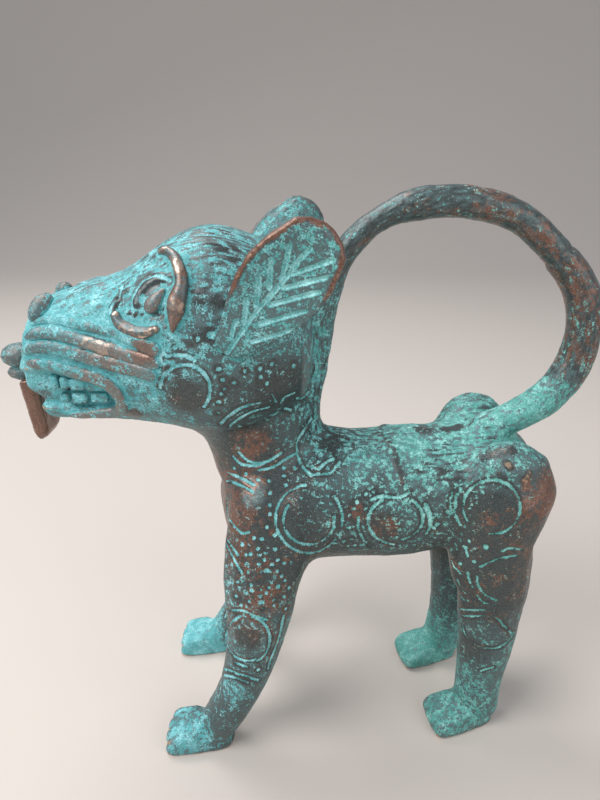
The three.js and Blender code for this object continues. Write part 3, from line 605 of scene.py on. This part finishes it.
def beadShape(settings, side):  # pressed balls of wax
    shape = bmesh.new()
    for pixel, halves, turn in settings["beads"]:
        place, outward = seatAt(pixel, side)
        up = (Vector((0, 0, 1)) - outward * outward.z).normalized()
        across = up.cross(outward)
        lean = Matrix.Rotation(math.radians(turn if side == "left_" else -turn), 3, "Z")
        axes = Matrix((across, up, outward)).transposed() @ lean
        ball = bmesh.ops.create_icosphere(shape, subdivisions=4, radius=1)["verts"]
        for vert in ball:
            vert.co.x *= 1 - settings.get("taper", 0) * vert.co.y
        sizes = Matrix.Diagonal([half * mm for half in halves])
        bmesh.ops.transform(shape, verts=ball, matrix=Matrix.Translation(place) @ (axes @ sizes).to_4x4())
    return shape


def blockShape(settings, side):  # a row of squared teeth
    shape = bmesh.new()
    mirror = 1 if side == "left_" else -1
    eye = Vector(cameraSettings["place"])
    depth = laidSettings["toothDepth"]
    for px, py, width, height in settings["blocks"]:
        sight = rayThrough(px, py)
        face = eye + sight * ((settings["face"] - eye.y) / sight.y)
        block = bmesh.ops.create_cube(shape, size=1)["verts"]
        sizes = Matrix.Diagonal((width * mm, depth, height * mm, 1))
        middle = Vector((face.x, mirror * (face.y + depth / 2), face.z))
        bmesh.ops.transform(shape, verts=block, matrix=Matrix.Translation(middle) @ sizes)
    bmesh.ops.bevel(shape, geom=shape.edges, offset=laidSettings["toothBevel"], affect="EDGES", segments=2,
                    profile=0.5, material=-1)
    return shape


def grownNode(node, settings):  # a CAD node, swollen until it meets what carries it
    shape = nodeShape(node)
    swellShape(shape, settings["swell"] * mm)
    low = min(vert.co.z for vert in shape.verts)
    high = max(vert.co.z for vert in shape.verts)
    for vert in shape.verts:  # thicker at the top, and drawn up behind the tip
        share = (vert.co.z - low) / (high - low)
        behind = max(0, vert.normal.x) * mm
        vert.co.x += settings.get("thicken", 0) * behind * share
        vert.co.z += settings.get("tip", 0) * behind * (1 - share) ** 2
    return shape


def laidPiece(node, settings, side=""):
    makers = {"bar": barShape, "blocks": blockShape, "beads": beadShape}
    kinds = [kind for kind in makers if kind in settings]
    shape = makers[kinds[0]](settings, side) if kinds else grownNode(node, settings)
    mesh = remeshed(meshOf(shape, node), laidSettings["grain"])
    rounds = settings.get("rounds", laidSettings["rounds"])
    points = eased(pointsOf(mesh), edgesOf(mesh), rounds, laidSettings["pulls"])
    setPoints(mesh, points)
    lumps = sum(rise * noiseAt(points, grain, shift=shift) for grain, rise, shift in laidSettings["lumps"])
    setPoints(mesh, points + normalsOf(mesh) * lumps[:, None])
    return mesh


laidMeshes = {}
laidFinish = {}
for kind, settings in pairedPieces.items():
    for side in ("left_", "right_"):
        laidMeshes[side + kind] = laidPiece(side + kind, settings, side)
        laidFinish[side + kind] = settings
for kind, settings in middlePieces.items():
    laidMeshes[kind] = laidPiece(kind, settings)
    laidFinish[kind] = settings
print("laid pieces", len(laidMeshes))


# ear veins, cut like the spot marks
earSettings = {
    "midrib": [(227, 353), (254, 315), (281, 284), (298, 263)],
    "veins": [[(283, 288), (325, 278)], [(269, 305), (319, 292)], [(260, 324), (306, 311)],
              [(252, 342), (292, 330)], [(240, 359), (273, 350)]],
    "faintVeins": [[(281, 278), (333, 260)], [(283, 274), (290, 245)], [(292, 267), (310, 249)],
                   [(269, 288), (271, 259)], [(256, 305), (259, 278)], [(244, 324), (246, 299)],
                   [(231, 338), (234, 324)]],
    "width": 0.90 * mm,
    "depth": 0.36 * mm,
    "faintShare": 0.7,
    "filled": (1.15, 0.6),  # half widths from none to full
    "waver": (2 * mm, 0.3),  # grain and share of a vein's uneven width
    "rimBend": (0.1, 0.6),  # bends from none of the rolled rim to all of it
    "rimRounds": 14,
    "rimGain": 1.9,
    "rimFrom": (102 * mm, 110 * mm),  # heights over which the rim comes up
    "rimHeight": 0.22 * mm,
    "rimCrest": 2.2,  # keeps the brown to the rim's crest
    "rimWear": {"left_": 1.0, "right_": 0.5},  # share of the rim that is rubbed brown
    "rimFinish": (-0.22, 0.58, 0.07),  # verdigris, brown and wear that the rim adds
    "leadX": -1.5 * mm,  # the right ear is set a little further forward
}


def veinedEar(side):
    mesh = laidMeshes[side + "ear"]
    leftTree = treeOf(laidMeshes["left_ear"])
    tree = treeOf(mesh)
    points = pointsOf(mesh)
    grain, amount = earSettings["waver"]
    waver = 1 + amount * noiseAt(points, grain)
    bend = smoothRamp(-curveOf(mesh), *earSettings["rimBend"])[:, None]
    roll = eased(bend, edgesOf(mesh), earSettings["rimRounds"], justSmooth)[:, 0]
    roll = np.clip(earSettings["rimGain"] * roll, 0, 1) * smoothRamp(points[:, 2], *earSettings["rimFrom"])
    fill = np.zeros(len(points))
    height = roll * earSettings["rimHeight"]
    faint = [earSettings["midrib"]] + earSettings["faintVeins"]
    for kept, group in ((earSettings["faintShare"], faint), (1.0, earSettings["veins"])):
        hits = [hit for line in group for hit in onSurface(leftTree, linePixels(line))]
        if side == "right_":
            twins = [Vector((hit.x + earSettings["leadX"], -hit.y, hit.z)) for hit in hits]
            hits = [tree.find_nearest(twin)[0] for twin in twins]
        share = distanceTo(points, hits) / (earSettings["width"] / 2 * waver)
        fill = np.maximum(fill, kept * smoothRamp(share, *earSettings["filled"]))
        height -= cutProfile(share) * (1 - roll) * kept * earSettings["depth"]
    setPoints(mesh, points + normalsOf(mesh) * height[:, None])
    return fill * (1 - roll), roll ** earSettings["rimCrest"] * earSettings["rimWear"][side]


earMarks = {side + "ear": veinedEar(side) for side in ("right_", "left_")}
print("ears veined")


# finish fields: how much verdigris, brown and wear each place of the figure has, from 0 to 1
# a zone is its place and reach in mm, then its verdigris, brown and wear
finishZones = {
    "head": [
        ((-22, 0, 112), 14, 0.50, 0.05, 0), ((-38, 0, 104), 12, 0.64, 0.03, 0),
        ((-46, 0, 93), 9, 0.68, 0.05, 0), ((-28, -15, 97), 10, 0.60, 0.05, 0),
        ((-16, -15, 92), 10, 0.44, 0.08, 0), ((-8, 0, 108), 10, 0.48, 0.10, 0),
        ((-36, 0, 78), 9, 0.45, 0.20, 0)],
    "neck": [
        ((-10, -10, 80), 9, 0.34, 0.15, 0), ((-8, -12, 68), 9, 0.20, 0.36, 0),
        ((-16, -10, 60), 8, 0.28, 0.60, 0), ((0, -10, 72), 7, 0.40, 0.12, 0),
        ((-3, -12, 56), 9, 0.25, 0.22, 0)],
    "trunk": [
        ((8, 0, 76), 8, 0.44, 0.10, 0), ((10, -13, 62), 8, 0.37, 0.18, 0),
        ((20, -12, 67), 9, 0.44, 0.06, 0), ((20, -13, 55), 8, 0.38, 0.28, 0),
        ((22, 0, 45), 10, 0.06, 0.15, 0), ((24, 0, 74), 9, 0.58, 0.06, 0)],
    "hindLegs": [
        ((36, 0, 76), 8, 0.66, 0.06, 0), ((38, -12, 72), 7, 0.52, 0.15, 0.08),
        ((40, -14, 60), 9, 0.28, 0.20, 0), ((50, -8, 62), 8, 0.18, 0.52, 0.08),
        ((42, -12, 44), 9, 0.25, 0.30, 0), ((44, -12, 28), 9, 0.40, 0.22, 0),
        ((42, -11, 10), 9, 0.48, 0.12, 0), ((34, -11, 3), 6, 0.54, 0.10, 0)],
    "forelegs": [
        ((-12, -13, 46), 9, 0.36, 0.50, 0), ((-14, -14, 34), 8, 0.42, 0.36, 0),
        ((-17, -15, 20), 8, 0.38, 0.12, 0), ((-20, -15, 10), 8, 0.36, 0.15, 0),
        ((-27, -15, 3), 6, 0.58, 0.08, 0.02)],
    "tail": [
        ((52, 0, 76), 8, 0.66, 0.08, 0), ((57, 0, 92), 8, 0.32, 0.40, 0),
        # the top of the tail's arch has more verdigris, brown and wear here, which make it paler: partly its
        # patina and rubbing, partly a painted sheen
        ((54, 0, 108), 8, 0.28, 0.45, 0), ((42, 0, 118), 9, 0.31, 0.42, 0.10),
        ((28, 0, 122), 9, 0.33, 0.28, 0.14), ((12, 0, 114), 9, 0.31, 0.16, 0.14),
        ((5, 0, 98), 8, 0.45, 0.10, 0)],
    "farLegs": [
        # the far paws have much more verdigris than the near ones, which makes them paler: partly their
        # patina, partly painted light where light falls on them
        ((-29, 15, 4), 9, 0.90, 0, 0), ((32, 12, 4), 9, 0.78, 0, 0), ((40, 10, 25), 9, 0.36, 0.05, 0)],
}
# a patch is its middle in pixels, its reach in mm, and the verdigris, brown and wear that it adds
finishPatches = {
    "head": [
        ((150, 285), 2.3, -0.42, 0, 0), ((116, 303), 1.4, -0.40, 0, 0), ((158, 313), 1.6, -0.35, 0, 0),
        ((200, 298), 2.0, -0.25, 0, 0), ((218, 302), 1.6, -0.25, 0, 0), ((206, 240), 3.2, -0.12, 0.05, 0),
        ((230, 252), 2.6, -0.14, 0, 0), ((185, 395), 4.5, -0.24, 0.1, 0), ((240, 395), 4.5, -0.08, 0, 0),
        # painted shade: the patches at (42, 394) and (78, 392) take the salts away so that the deep parts of
        # the mouth, beside the tongue and between the rows of teeth, come out dark
        ((285, 385), 6.0, -0.14, 0, 0), ((42, 394), 2.4, -0.22, 0, -0.5),
        ((132, 413), 2.4, -0.30, 0.25, 0), ((205, 335), 5.0, -0.08, 0, 0), ((78, 392), 3.6, -0.25, 0, 0)],
    "chest": [((250, 440), 4.5, -0.08, 0.25, 0), ((253, 497), 3.0, 0.14, 0.05, 0)],
    "back": [
        ((365, 465), 4.0, 0.12, 0, 0), ((376, 479), 2.6, -0.12, 0, 0), ((355, 512), 2.6, -0.20, 0.25, 0),
        ((385, 526), 3.4, -0.20, 0.15, 0), ((411, 446), 4.0, 0.22, 0, 0), ((330, 440), 3.2, -0.20, 0, 0),
        ((424, 430), 2.4, -0.22, 0.05, 0), ((446, 430), 1.5, -0.28, 0.08, 0),
        ((457, 429), 1.6, -0.28, 0.10, 0)],
    "hip": [
        ((490, 508), 4.6, -0.12, 0.08, 0), ((540, 495), 5.5, 0, 0.24, 0),
        ((498, 453), 1.7, -0.24, 0.08, 0), ((440, 470), 2.5, -0.06, 0, 0),
        ((486, 456), 1.6, -0.24, 0.06, 0), ((511, 450), 1.5, -0.24, 0.12, 0),
        ((462, 472), 2.6, -0.08, -0.1, 0)],
    "bareSpots": [
        ((506, 463), 0.8, -0.3, 0, 0.62), ((510, 467), 0.9, -0.3, 0, 0.62),
        ((499, 474), 0.6, -0.2, 0, 0.60), ((504, 478), 0.7, -0.2, 0, 0.62),
        ((529, 474), 0.9, -0.3, 0.2, 0.55), ((525, 480), 1.0, -0.3, 0.2, 0.55),
        ((527, 487), 0.9, -0.2, 0.2, 0.50)],
    "legs": [
        ((247, 638), 3.2, -0.18, -0.08, 0), ((232, 690), 3.5, 0.12, -0.1, 0),
        ((192, 735), 5.0, 0.10, -0.1, 0), ((470, 650), 4.5, -0.10, 0, 0),
        ((455, 705), 5.0, 0.02, -0.1, 0)],
}
laidPatches = [  # the same, on the pieces laid on the head
    ((38, 322), 3.5, -0.02, -0.35, -0.1), ((36, 336), 3.5, -0.05, -0.30, -0.2),
    ((34, 350), 3.5, -0.06, -0.25, -0.2), ((60, 322), 3.0, 0.02, -0.30, -0.1),
    # the wear added at (98, 344) on the middle of whisker bar 2, and at (177, 268) and (176, 304) on the
    # brow rim, gives pale bare metal where the crests shine: partly rubbed metal, partly a painted highlight
    ((98, 344), 4.0, -0.10, -0.10, 0.30), ((125, 368), 4.5, -0.08, 0.20, 0),
    ((146, 350), 3.0, -0.25, 0.25, 0.20), ((177, 268), 2.2, -0.10, 0, 0.25),
    ((176, 304), 2.0, -0.05, -0.1, 0.20), ((170, 325), 2.5, 0.05, 0.35, -0.4),
    ((60, 366), 4.0, 0.10, -0.20, -0.1),
]
finishSettings = {
    "patchRamp": (1.35, 0.4),  # reaches from none of a patch to all of it
    "contact": (1.0 * mm, 0.25 * mm),  # verdigris gathers this close to a laid piece
    "contactReach": 1.2 * mm,
    "contactShare": 0.75,
    "hollowShare": 0.6,
    "besideShade": 0.20,  # verdigris taken away along a mark, as painted shade: a dark strip for the shaded edge of the cut
    "besideSpared": 0.9,  # share of the wear that is missing there
    "edgeFrom": 0.5,  # bend at which an edge of the skin starts to wear
    "streakBrown": 0.32,
    "seat": (0.6 * mm, 0.1 * mm),  # verdigris gathers at the foot of a laid piece
    "seatReach": 1 * mm,
    "seatShare": 0.9,
    "crest": (0.5, 0.2, 0.5),  # share of the bend, start and most of a laid piece's wear
    "greening": (-32 * mm, 30 * mm),  # x over which the salts turn from blue to green
}
grainSettings = {  # short strokes left in the wax on the head, the nape and the tail
    "size": 0.42 * mm,
    "depth": 0.08 * mm,
    "contrast": 0.52,
    "crown": bothSides((-42, 10, 93, 8), (-28, 14, 98, 9), (30, 9, 71, 7)) + [
        (-22, 0, 112, 17), (-40, 0, 102, 11), (-8, 0, 104, 10), (38, 0, 76, 9)],
    "crownStretch": (6, 1, 2.5),
    "nape": [(5, 0, 88, 8), (9, 0, 77, 9), (16, 0, 75, 7)],
    "napeStretch": (2.5, 1, 5),
    "crumbling": bothSides((-10, 12, 46, 9)) + [(20, 0, 68, 20)],  # salts break up finely here
    "tailStretch": 3.5,  # times as long as wide, along the tail
    "tailRadius": 25 * mm,
    "tailCalm": 0.6,  # the tail's strokes are this much fainter
    "streaks": 3,  # times the size of a stroke
}


def zoneFields(points):
    folded = toSide(points, -1)
    total = np.full(len(points), 1e-6)
    fields = np.zeros((len(points), 3))
    for place, reach, *finish in flat(finishZones):
        measured = points if place[1] > 0 else folded  # a zone of the far side is on that side only
        away = np.linalg.norm(measured - np.array(place) * mm, axis=1) / (reach * mm)
        weight = np.exp(-away ** 2)
        total += weight
        fields += weight[:, None] * np.array(finish)
    return fields / total[:, None]


def addPatches(points, fields, patches):  # on both sides
    for pixel, reach, *added in patches:
        for side in ("left_", "right_"):
            away = np.linalg.norm(points - np.array(seatAt(pixel, side)[0]), axis=1) / (reach * mm)
            fields += smoothRamp(away, *finishSettings["patchRamp"])[:, None] * np.array(added)


fieldNames = ("recess", "wear", "verdigris", "brown", "cut", "green", "crumbling")


def writeField(mesh, name, values):
    attribute = mesh.attributes.get(name) or mesh.attributes.new(name, "FLOAT", "POINT")
    attribute.data.foreach_set("value", values.astype(np.float32))


def setFinish(mesh, recess, wear, fields, fill):
    values = {
        "recess": np.clip(recess, 0, 1),
        "wear": np.clip(wear + fields[:, 2], 0, 1),
        "verdigris": np.clip(fields[:, 0], 0, 1),
        "brown": np.clip(fields[:, 1], 0, 1),
        "cut": np.clip(fill, 0, 1),
        "crumbling": nearness(pointsOf(mesh), grainSettings["crumbling"]),
        "green": smoothRamp(pointsOf(mesh)[:, 0], *finishSettings["greening"]),
    }
    for name, field in values.items():
        writeField(mesh, name, field)


def combedSkin(mesh):
    points = pointsOf(mesh)
    crown = nearness(points, grainSettings["crown"])
    nape = nearness(points, grainSettings["nape"])
    strokes = crown * noiseAt(points, grainSettings["size"], grainSettings["crownStretch"])
    strokes += nape * noiseAt(points, grainSettings["size"], grainSettings["napeStretch"], 5.7)
    tail, turn, radius = aroundTail(points)
    along = np.radians(turn) * grainSettings["tailRadius"] / grainSettings["tailStretch"]
    unrolled = np.stack([along, radius, points[:, 1]], axis=1)
    strokes += tail * noiseAt(unrolled, grainSettings["size"], shift=1.3)
    strokes *= 1 - grainSettings["tailCalm"] * tail
    setPoints(mesh, points - normalsOf(mesh) * (strokes * grainSettings["depth"])[:, None])
    return strokes, tail * noiseAt(unrolled, grainSettings["streaks"] * grainSettings["size"], shift=8.1)


strokes, tailStreaks = combedSkin(skin)
skinTree = treeOf(skin)
skinPoints = pointsOf(skin)
skinCurve = curveOf(skin)
laidPoints = np.concatenate([pointsOf(mesh) for mesh in laidMeshes.values()])
away = distanceTo(skinPoints, laidPoints, finishSettings["contactReach"])
contact = finishSettings["contactShare"] * smoothRamp(away, *finishSettings["contact"])
hollow = finishSettings["hollowShare"] * np.clip(skinCurve, 0, 1)
skinFields = zoneFields(skinPoints)
addPatches(skinPoints, skinFields, flat(finishPatches))
skinFields += ridgeFinish
skinFields[:, 0] += grainSettings["contrast"] * strokes
# painted shade: a dark strip beside each mark, where the edge of the cut falls into shade
skinFields[:, 0] -= finishSettings["besideShade"] * besideMark * (1 - markFill)
skinFields[:, 1] += finishSettings["streakBrown"] * tailStreaks
exposed = 1 - finishSettings["besideSpared"] * besideMark
skinFields[:, 2] *= exposed
skinWear = np.clip(-skinCurve - finishSettings["edgeFrom"], 0, 1) * exposed
setFinish(skin, np.maximum.reduce([markFill, contact, hollow]), skinWear, skinFields, markFill)
seatReach = finishSettings["seatReach"]
bendShare, wearFrom, wearMost = finishSettings["crest"]
for name, mesh in laidMeshes.items():
    points = pointsOf(mesh)
    curve = curveOf(mesh)
    away = [skinTree.find_nearest(point, seatReach)[3] or seatReach for point in points.tolist()]
    seat = smoothRamp(np.array(away), *finishSettings["seat"])
    fill, roll = earMarks.get(name, np.zeros((2, len(points))))
    hollow = np.maximum.reduce([finishSettings["seatShare"] * seat, np.clip(curve, 0, 1), fill])
    wear = np.clip(-curve * bendShare - wearFrom, 0, wearMost) * (1 - seat) * (1 - fill)
    fields = np.tile(laidFinish[name]["finish"], (len(points), 1))
    addPatches(points, fields, laidPatches)
    fields += roll[:, None] * np.array(earSettings["rimFinish"])
    setFinish(mesh, hollow, wear, fields, fill)
print("finish fields set")


# materials
def linear(hexColour):  # an sRGB hex colour as linear light
    parts = [int(hexColour[k:k + 2], 16) / 255 for k in (1, 3, 5)]
    return tuple(c / 12.92 if c <= 0.04045 else ((c + 0.055) / 1.055) ** 2.4 for c in parts) + (1,)


def addNode(tree, kind, settings, inputs, made):  # an input given as "name.Output" is linked to that node
    node = tree.nodes.new(kind)
    for key, value in settings.items():
        setattr(node, key, value)
    for key, value in inputs.items():
        if isinstance(value, str):
            name, output = value.split(".")
            sockets = [socket for socket in made[name].outputs if socket.name == output and socket.enabled]
            tree.links.new(sockets[0], node.inputs[key])
        else:
            node.inputs[key].default_value = value
    return node


# patinated bronze: cast copper alloy, dark with tarnish, brown where handled, blue-green where salts gather
# gives a fine speckle of pale verdigris over a half-glossy dark ground, with small bare edges that glint
bronzeSettings = {
    "tarnish": "#545d5c",
    "tarnishDeep": "#292f2f",
    "brown": "#8c6351",
    "brownDeep": "#4c3a33",
    "veil": "#7fa6aa",
    "verdigris": "#4f9ea2",
    "verdigrisPale": "#aee6ec",
    "malachite": "#4d988f",
    "malachitePale": "#a8e0da",
    "bare": "#c4aa90",
    "speckle": 1.0 * mm,  # grain of each noise
    "blotch": 2.6 * mm,
    "patch": 7 * mm,
    "crumbs": 0.30 * mm,
    "bareStart": -0.90,
    "bareBreak": 1.4,
    "brownStart": -2.30,
    "groundMetal": 0.40,
    "groundRough": 0.50,
    "smoothRough": 0.29,
    "saltRough": 0.78,
    "bareRough": 0.30,
    "coat": 0.10,  # a faint gloss over everything
    "coatRough": 0.34,
    "bump": 0.15 * mm,
}
# rubbed bronze: the same alloy where hands have thinned the salts
# gives warmer and paler crests that shine a little more: its paler tarnish and brown are partly rubbed metal
# and partly a painted sheen
rubbedSheenSettings = bronzeSettings | {
    "tarnish": "#727d7d",
    "tarnishDeep": "#3c4444",
    "brown": "#93705f",
    "brownDeep": "#59463d",
    "bareStart": -0.50,
    "bareBreak": 0.7,
    "brownStart": -2.15,
    "bare": "#cbb3a2",
    "groundMetal": 0.50,
    "groundRough": 0.42,
}


def patinatedBronze(name, look):
    material = bpy.data.materials.new(name)
    material.use_nodes = True
    tree = material.node_tree
    tree.nodes.clear()
    # an entry is a name, a kind of node, its settings and its inputs: values, or outputs of nodes above it
    recipe = [("place", "ShaderNodeTexCoord", {}, {})]
    for key in ("speckle", "blotch", "patch", "crumbs"):
        inputs = {"Vector": "place.Object", "Scale": 1 / look[key], "Detail": 4.0, "Roughness": 0.68}
        recipe.append((key, "ShaderNodeTexNoise", {}, inputs))
    for key in fieldNames:
        recipe.append((key + "Field", "ShaderNodeAttribute", {"attribute_name": key}, {}))
    recipe += [
        ("crumble", "ShaderNodeMapRange", {"clamp": False}, {
            "Value": "speckle.Fac", "From Min": 0.3, "From Max": 0.7, "To Min": -1.0, "To Max": 1.0}),
        ("broken", "ShaderNodeMath", {"operation": "MULTIPLY"}, {
            0: "crumble.Result", 1: "crumblingField.Fac"}),
    ]
    sums = {  # a start, and the share of each output that is added to it
        "saltSum": (-4.32, {"verdigrisField.Fac": 2.6, "recessField.Fac": 1.0, "cutField.Fac": 1.4,
                            "speckle.Fac": 3.2, "blotch.Fac": 1.6, "crumbs.Fac": 2.4, "wearField.Fac": -0.8,
                            "broken.Value": 0.9}),
        "copperSum": (look["brownStart"], {"brownField.Fac": 1.3, "patch.Fac": 1.0, "blotch.Fac": 1.6,
                                           "speckle.Fac": 1.8}),
        "bareSum": (look["bareStart"], {"wearField.Fac": 1.1, "speckle.Fac": look["bareBreak"],
                                        "recessField.Fac": -0.9}),
        "paleSum": (-1.1, {"crumbs.Fac": 1.3, "blotch.Fac": 1.0, "verdigrisField.Fac": 0.25,
                           "cutField.Fac": 0.25, "broken.Value": 0.30}),
        "reliefSum": (0.0, {"crumbs.Fac": 0.8, "speckle.Fac": 0.4, "broken.Value": 0.4}),
    }
    for key, (total, shares) in sums.items():
        for source, share in shares.items():
            step = key if source == list(shares)[-1] else key + source.split(".")[0]
            inputs = {0: source, 1: share, 2: total}
            recipe.append((step, "ShaderNodeMath", {"operation": "MULTIPLY_ADD"}, inputs))
            total = step + ".Value"
    ranges = {  # an output, its values from none to full, and what they turn into
        "salts": ("saltSum.Value", 0.50, 0.68, 0.0, 1.0),
        "copper": ("copperSum.Value", 0.28, 0.66, 0.0, 1.0),
        "bright": ("bareSum.Value", 0.42, 0.75, 0.0, 1.0),
        "pale": ("paleSum.Value", 0.1, 0.7, 0.0, 1.0),
        "film": ("verdigrisField.Fac", 0.28, 0.80, 0.0, 0.72),
        "bumpShare": ("verdigrisField.Fac", 0.15, 0.50, 0.3, 0.75),
        "plainRough": ("verdigrisField.Fac", 0.15, 0.55, look["smoothRough"], look["groundRough"]),
        "grain": ("crumbs.Fac", 0.32, 0.68, 0.0, 1.0),
        "crustMetal": ("salts.Result", 0.0, 1.0, look["groundMetal"], 0.0),
        "metalness": ("bright.Result", 0.0, 1.0, "crustMetal.Result", 1.0),
        "crustRough": ("salts.Result", 0.0, 1.0, "plainRough.Result", look["saltRough"]),
        "roughness": ("bright.Result", 0.0, 1.0, "crustRough.Result", look["bareRough"]),
    }
    for key, ends in ranges.items():
        curve = "SMOOTHSTEP" if ends[0].endswith("Sum.Value") else "LINEAR"
        inputs = dict(zip(("Value", "From Min", "From Max", "To Min", "To Max"), ends))
        recipe.append((key, "ShaderNodeMapRange", {"interpolation_type": curve}, inputs))
    blends = {  # a share, and the colours at none and at all of it
        "dark": ("grain.Result", "tarnishDeep", "tarnish"),
        "warm": ("grain.Result", "brownDeep", "brown"),
        "metal": ("copper.Result", "dark.Result", "warm.Result"),
        "ground": ("film.Result", "metal.Result", "veil"),
        "blueSalt": ("pale.Result", "verdigris", "verdigrisPale"),
        "greenSalt": ("pale.Result", "malachite", "malachitePale"),
        "salt": ("greenField.Fac", "blueSalt.Result", "greenSalt.Result"),
        "crust": ("salts.Result", "ground.Result", "salt.Result"),
        "colour": ("bright.Result", "crust.Result", "bare"),
    }
    for key, (share, *ends) in blends.items():
        none, full = [linear(look[end]) if end in look else end for end in ends]
        recipe.append((key, "ShaderNodeMix", {"data_type": "RGBA"}, {0: share, 6: none, 7: full}))
    recipe += [
        ("height", "ShaderNodeMath", {"operation": "MULTIPLY_ADD"}, {
            0: "salts.Result", 1: 0.35, 2: "reliefSum.Value"}),
        ("bump", "ShaderNodeBump", {}, {
            "Strength": "bumpShare.Result", "Distance": look["bump"], "Height": "height.Value"}),
        ("shader", "ShaderNodeBsdfPrincipled", {}, {
            "Base Color": "colour.Result", "Metallic": "metalness.Result", "Roughness": "roughness.Result",
            "Coat Weight": look["coat"], "Coat Roughness": look["coatRough"], "Normal": "bump.Normal"}),
        ("output", "ShaderNodeOutputMaterial", {}, {"Surface": "shader.BSDF"}),
    ]
    made = {}
    for key, kind, settings, inputs in recipe:
        made[key] = addNode(tree, kind, settings, inputs, made)
    return material


materials = {
    "patina": patinatedBronze("patinatedBronze", bronzeSettings),
    "worn_bronze": patinatedBronze("rubbedSheenBronze", rubbedSheenSettings),
}
print("materials made")


# pieces cut from the skin, each by a box (low corner, high corner, in mm)
pieceBoxes = [
    ("left_front_leg", (-60, -40, -5), (11, -4, 65)),
    ("right_front_leg", (-60, 4, -5), (11, 40, 65)),
    ("left_hind_leg", (31, -40, -5), (80, -3.8, 90)),
    ("right_hind_leg", (27, 3.8, -5), (80, 40, 90)),
    ("tail_rear_length", (40, -12, 76.4), (80, 12, 108.9)),
    ("tail_front_length", (4.1, -12, 76.4), (80, 12, 140)),
    ("head", (-80, -40, 78), (4.1, 40, 140)),
    ("neck", (-80, -40, 66), (4.1, 40, 78)),
]


def boxMesh(low, high):
    bm = bmesh.new()
    bmesh.ops.create_cube(bm, size=1)
    size = [(b - a) * mm for a, b in zip(low, high)]
    middle = [(a + b) * mm / 2 for a, b in zip(low, high)]
    bmesh.ops.transform(bm, verts=bm.verts, matrix=Matrix.Translation(middle) @ Matrix.Diagonal((*size, 1)))
    return meshOf(bm, "cutter")


def carved(mesh, cutter, operation):
    tool = newObject("tool", cutter)
    made = withModifier(mesh, "BOOLEAN", {"object": tool, "operation": operation, "solver": "MANIFOLD"})
    bpy.data.objects.remove(tool)
    return made


def finishPiece(mesh, node, slot):
    mesh.polygons.foreach_set("use_smooth", [True] * len(mesh.polygons))
    mesh.materials.clear()
    mesh.materials.append(materials[slot])
    piece = newObject(node + "_cast", mesh)
    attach(piece, "root")
    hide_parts(node)


def matchSkin(part):  # fields and shading run on across the cuts
    nearest = [skinFinder.find(point)[1] for point in pointsOf(part).tolist()]
    for name, field in skinValues.items():
        writeField(part, name, field[nearest])
    part.normals_split_custom_set_from_vertices(skinNormals[nearest])


skinFinder = KDTree(len(skin.vertices))
for vert in skin.vertices:
    skinFinder.insert(vert.co, vert.index)
skinFinder.balance()
skinNormals = normalsOf(skin)
skinValues = {name: readOut(skin.attributes[name].data, "value", 1, np.float32)[:, 0] for name in fieldNames}
rest = skin
for node, low, high in pieceBoxes:
    part = carved(rest, boxMesh(low, high), "INTERSECT")
    rest = carved(rest, boxMesh(low, high), "DIFFERENCE")
    finishPiece(part, node, "patina")
    matchSkin(part)
    print(node, len(part.polygons))
finishPiece(rest, "trunk", "patina")
matchSkin(rest)
for node, mesh in laidMeshes.items():
    finishPiece(mesh, node, laidFinish[node]["slot"])
print("pieces finished")


# stage: a plain pale floor and soft lamps
stageSettings = {
    "floor": "#c6bcb4",
    "floorRough": 0.8,
    "world": "#dfe6ee",
    "worldStrength": 0.58,
    # a lamp is its name, place, size and power
    "lamps": [("key", (-0.36, -0.22, 0.46), 0.35, 2.7), ("fill", (0.40, -0.35, 0.30), 0.45, 1.0),
              ("top", (-0.20, 0.20, 0.58), 0.35, 2.2)],
    "aim": (0, 0, 60 * mm),
    "reach": 0.6,  # half the floor's width
    "sweep": 0.5,  # radius of the curve behind, where the floor turns up
}
for name, place, size, power in stageSettings["lamps"]:
    lampData = bpy.data.lights.new(name, "AREA")
    lampData.shape = "DISK"
    lampData.size = size
    lampData.energy = power
    lamp = newObject(name, lampData)
    lamp.location = place
    lamp.rotation_euler = (Vector(stageSettings["aim"]) - Vector(place)).to_track_quat("-Z", "Y").to_euler()
world = bpy.data.worlds.new("studio")
scene.world = world
world.use_nodes = True
background = world.node_tree.nodes["Background"]
background.inputs["Color"].default_value = linear(stageSettings["world"])
background.inputs["Strength"].default_value = stageSettings["worldStrength"]
floorShape = bmesh.new()
bmesh.ops.create_grid(floorShape, x_segments=1, y_segments=1, size=stageSettings["reach"])
backEdge = [edge for edge in floorShape.edges if all(vert.co.y > 0 for vert in edge.verts)]
bmesh.ops.spin(floorShape, geom=backEdge + [vert for edge in backEdge for vert in edge.verts],
               cent=(0, stageSettings["reach"], stageSettings["sweep"]), axis=(1, 0, 0),
               angle=math.pi / 2, steps=24, use_merge=False, use_duplicate=False)
floor = newObject("floor", meshOf(floorShape, "floor"))
floor.data.polygons.foreach_set("use_smooth", [True] * len(floor.data.polygons))
floorPaint = bpy.data.materials.new("mattFloor")
floorPaint.use_nodes = True
floorShader = floorPaint.node_tree.nodes["Principled BSDF"]
floorShader.inputs["Base Color"].default_value = linear(stageSettings["floor"])
floorShader.inputs["Roughness"].default_value = stageSettings["floorRough"]
floor.data.materials.append(floorPaint)
print("stage set")
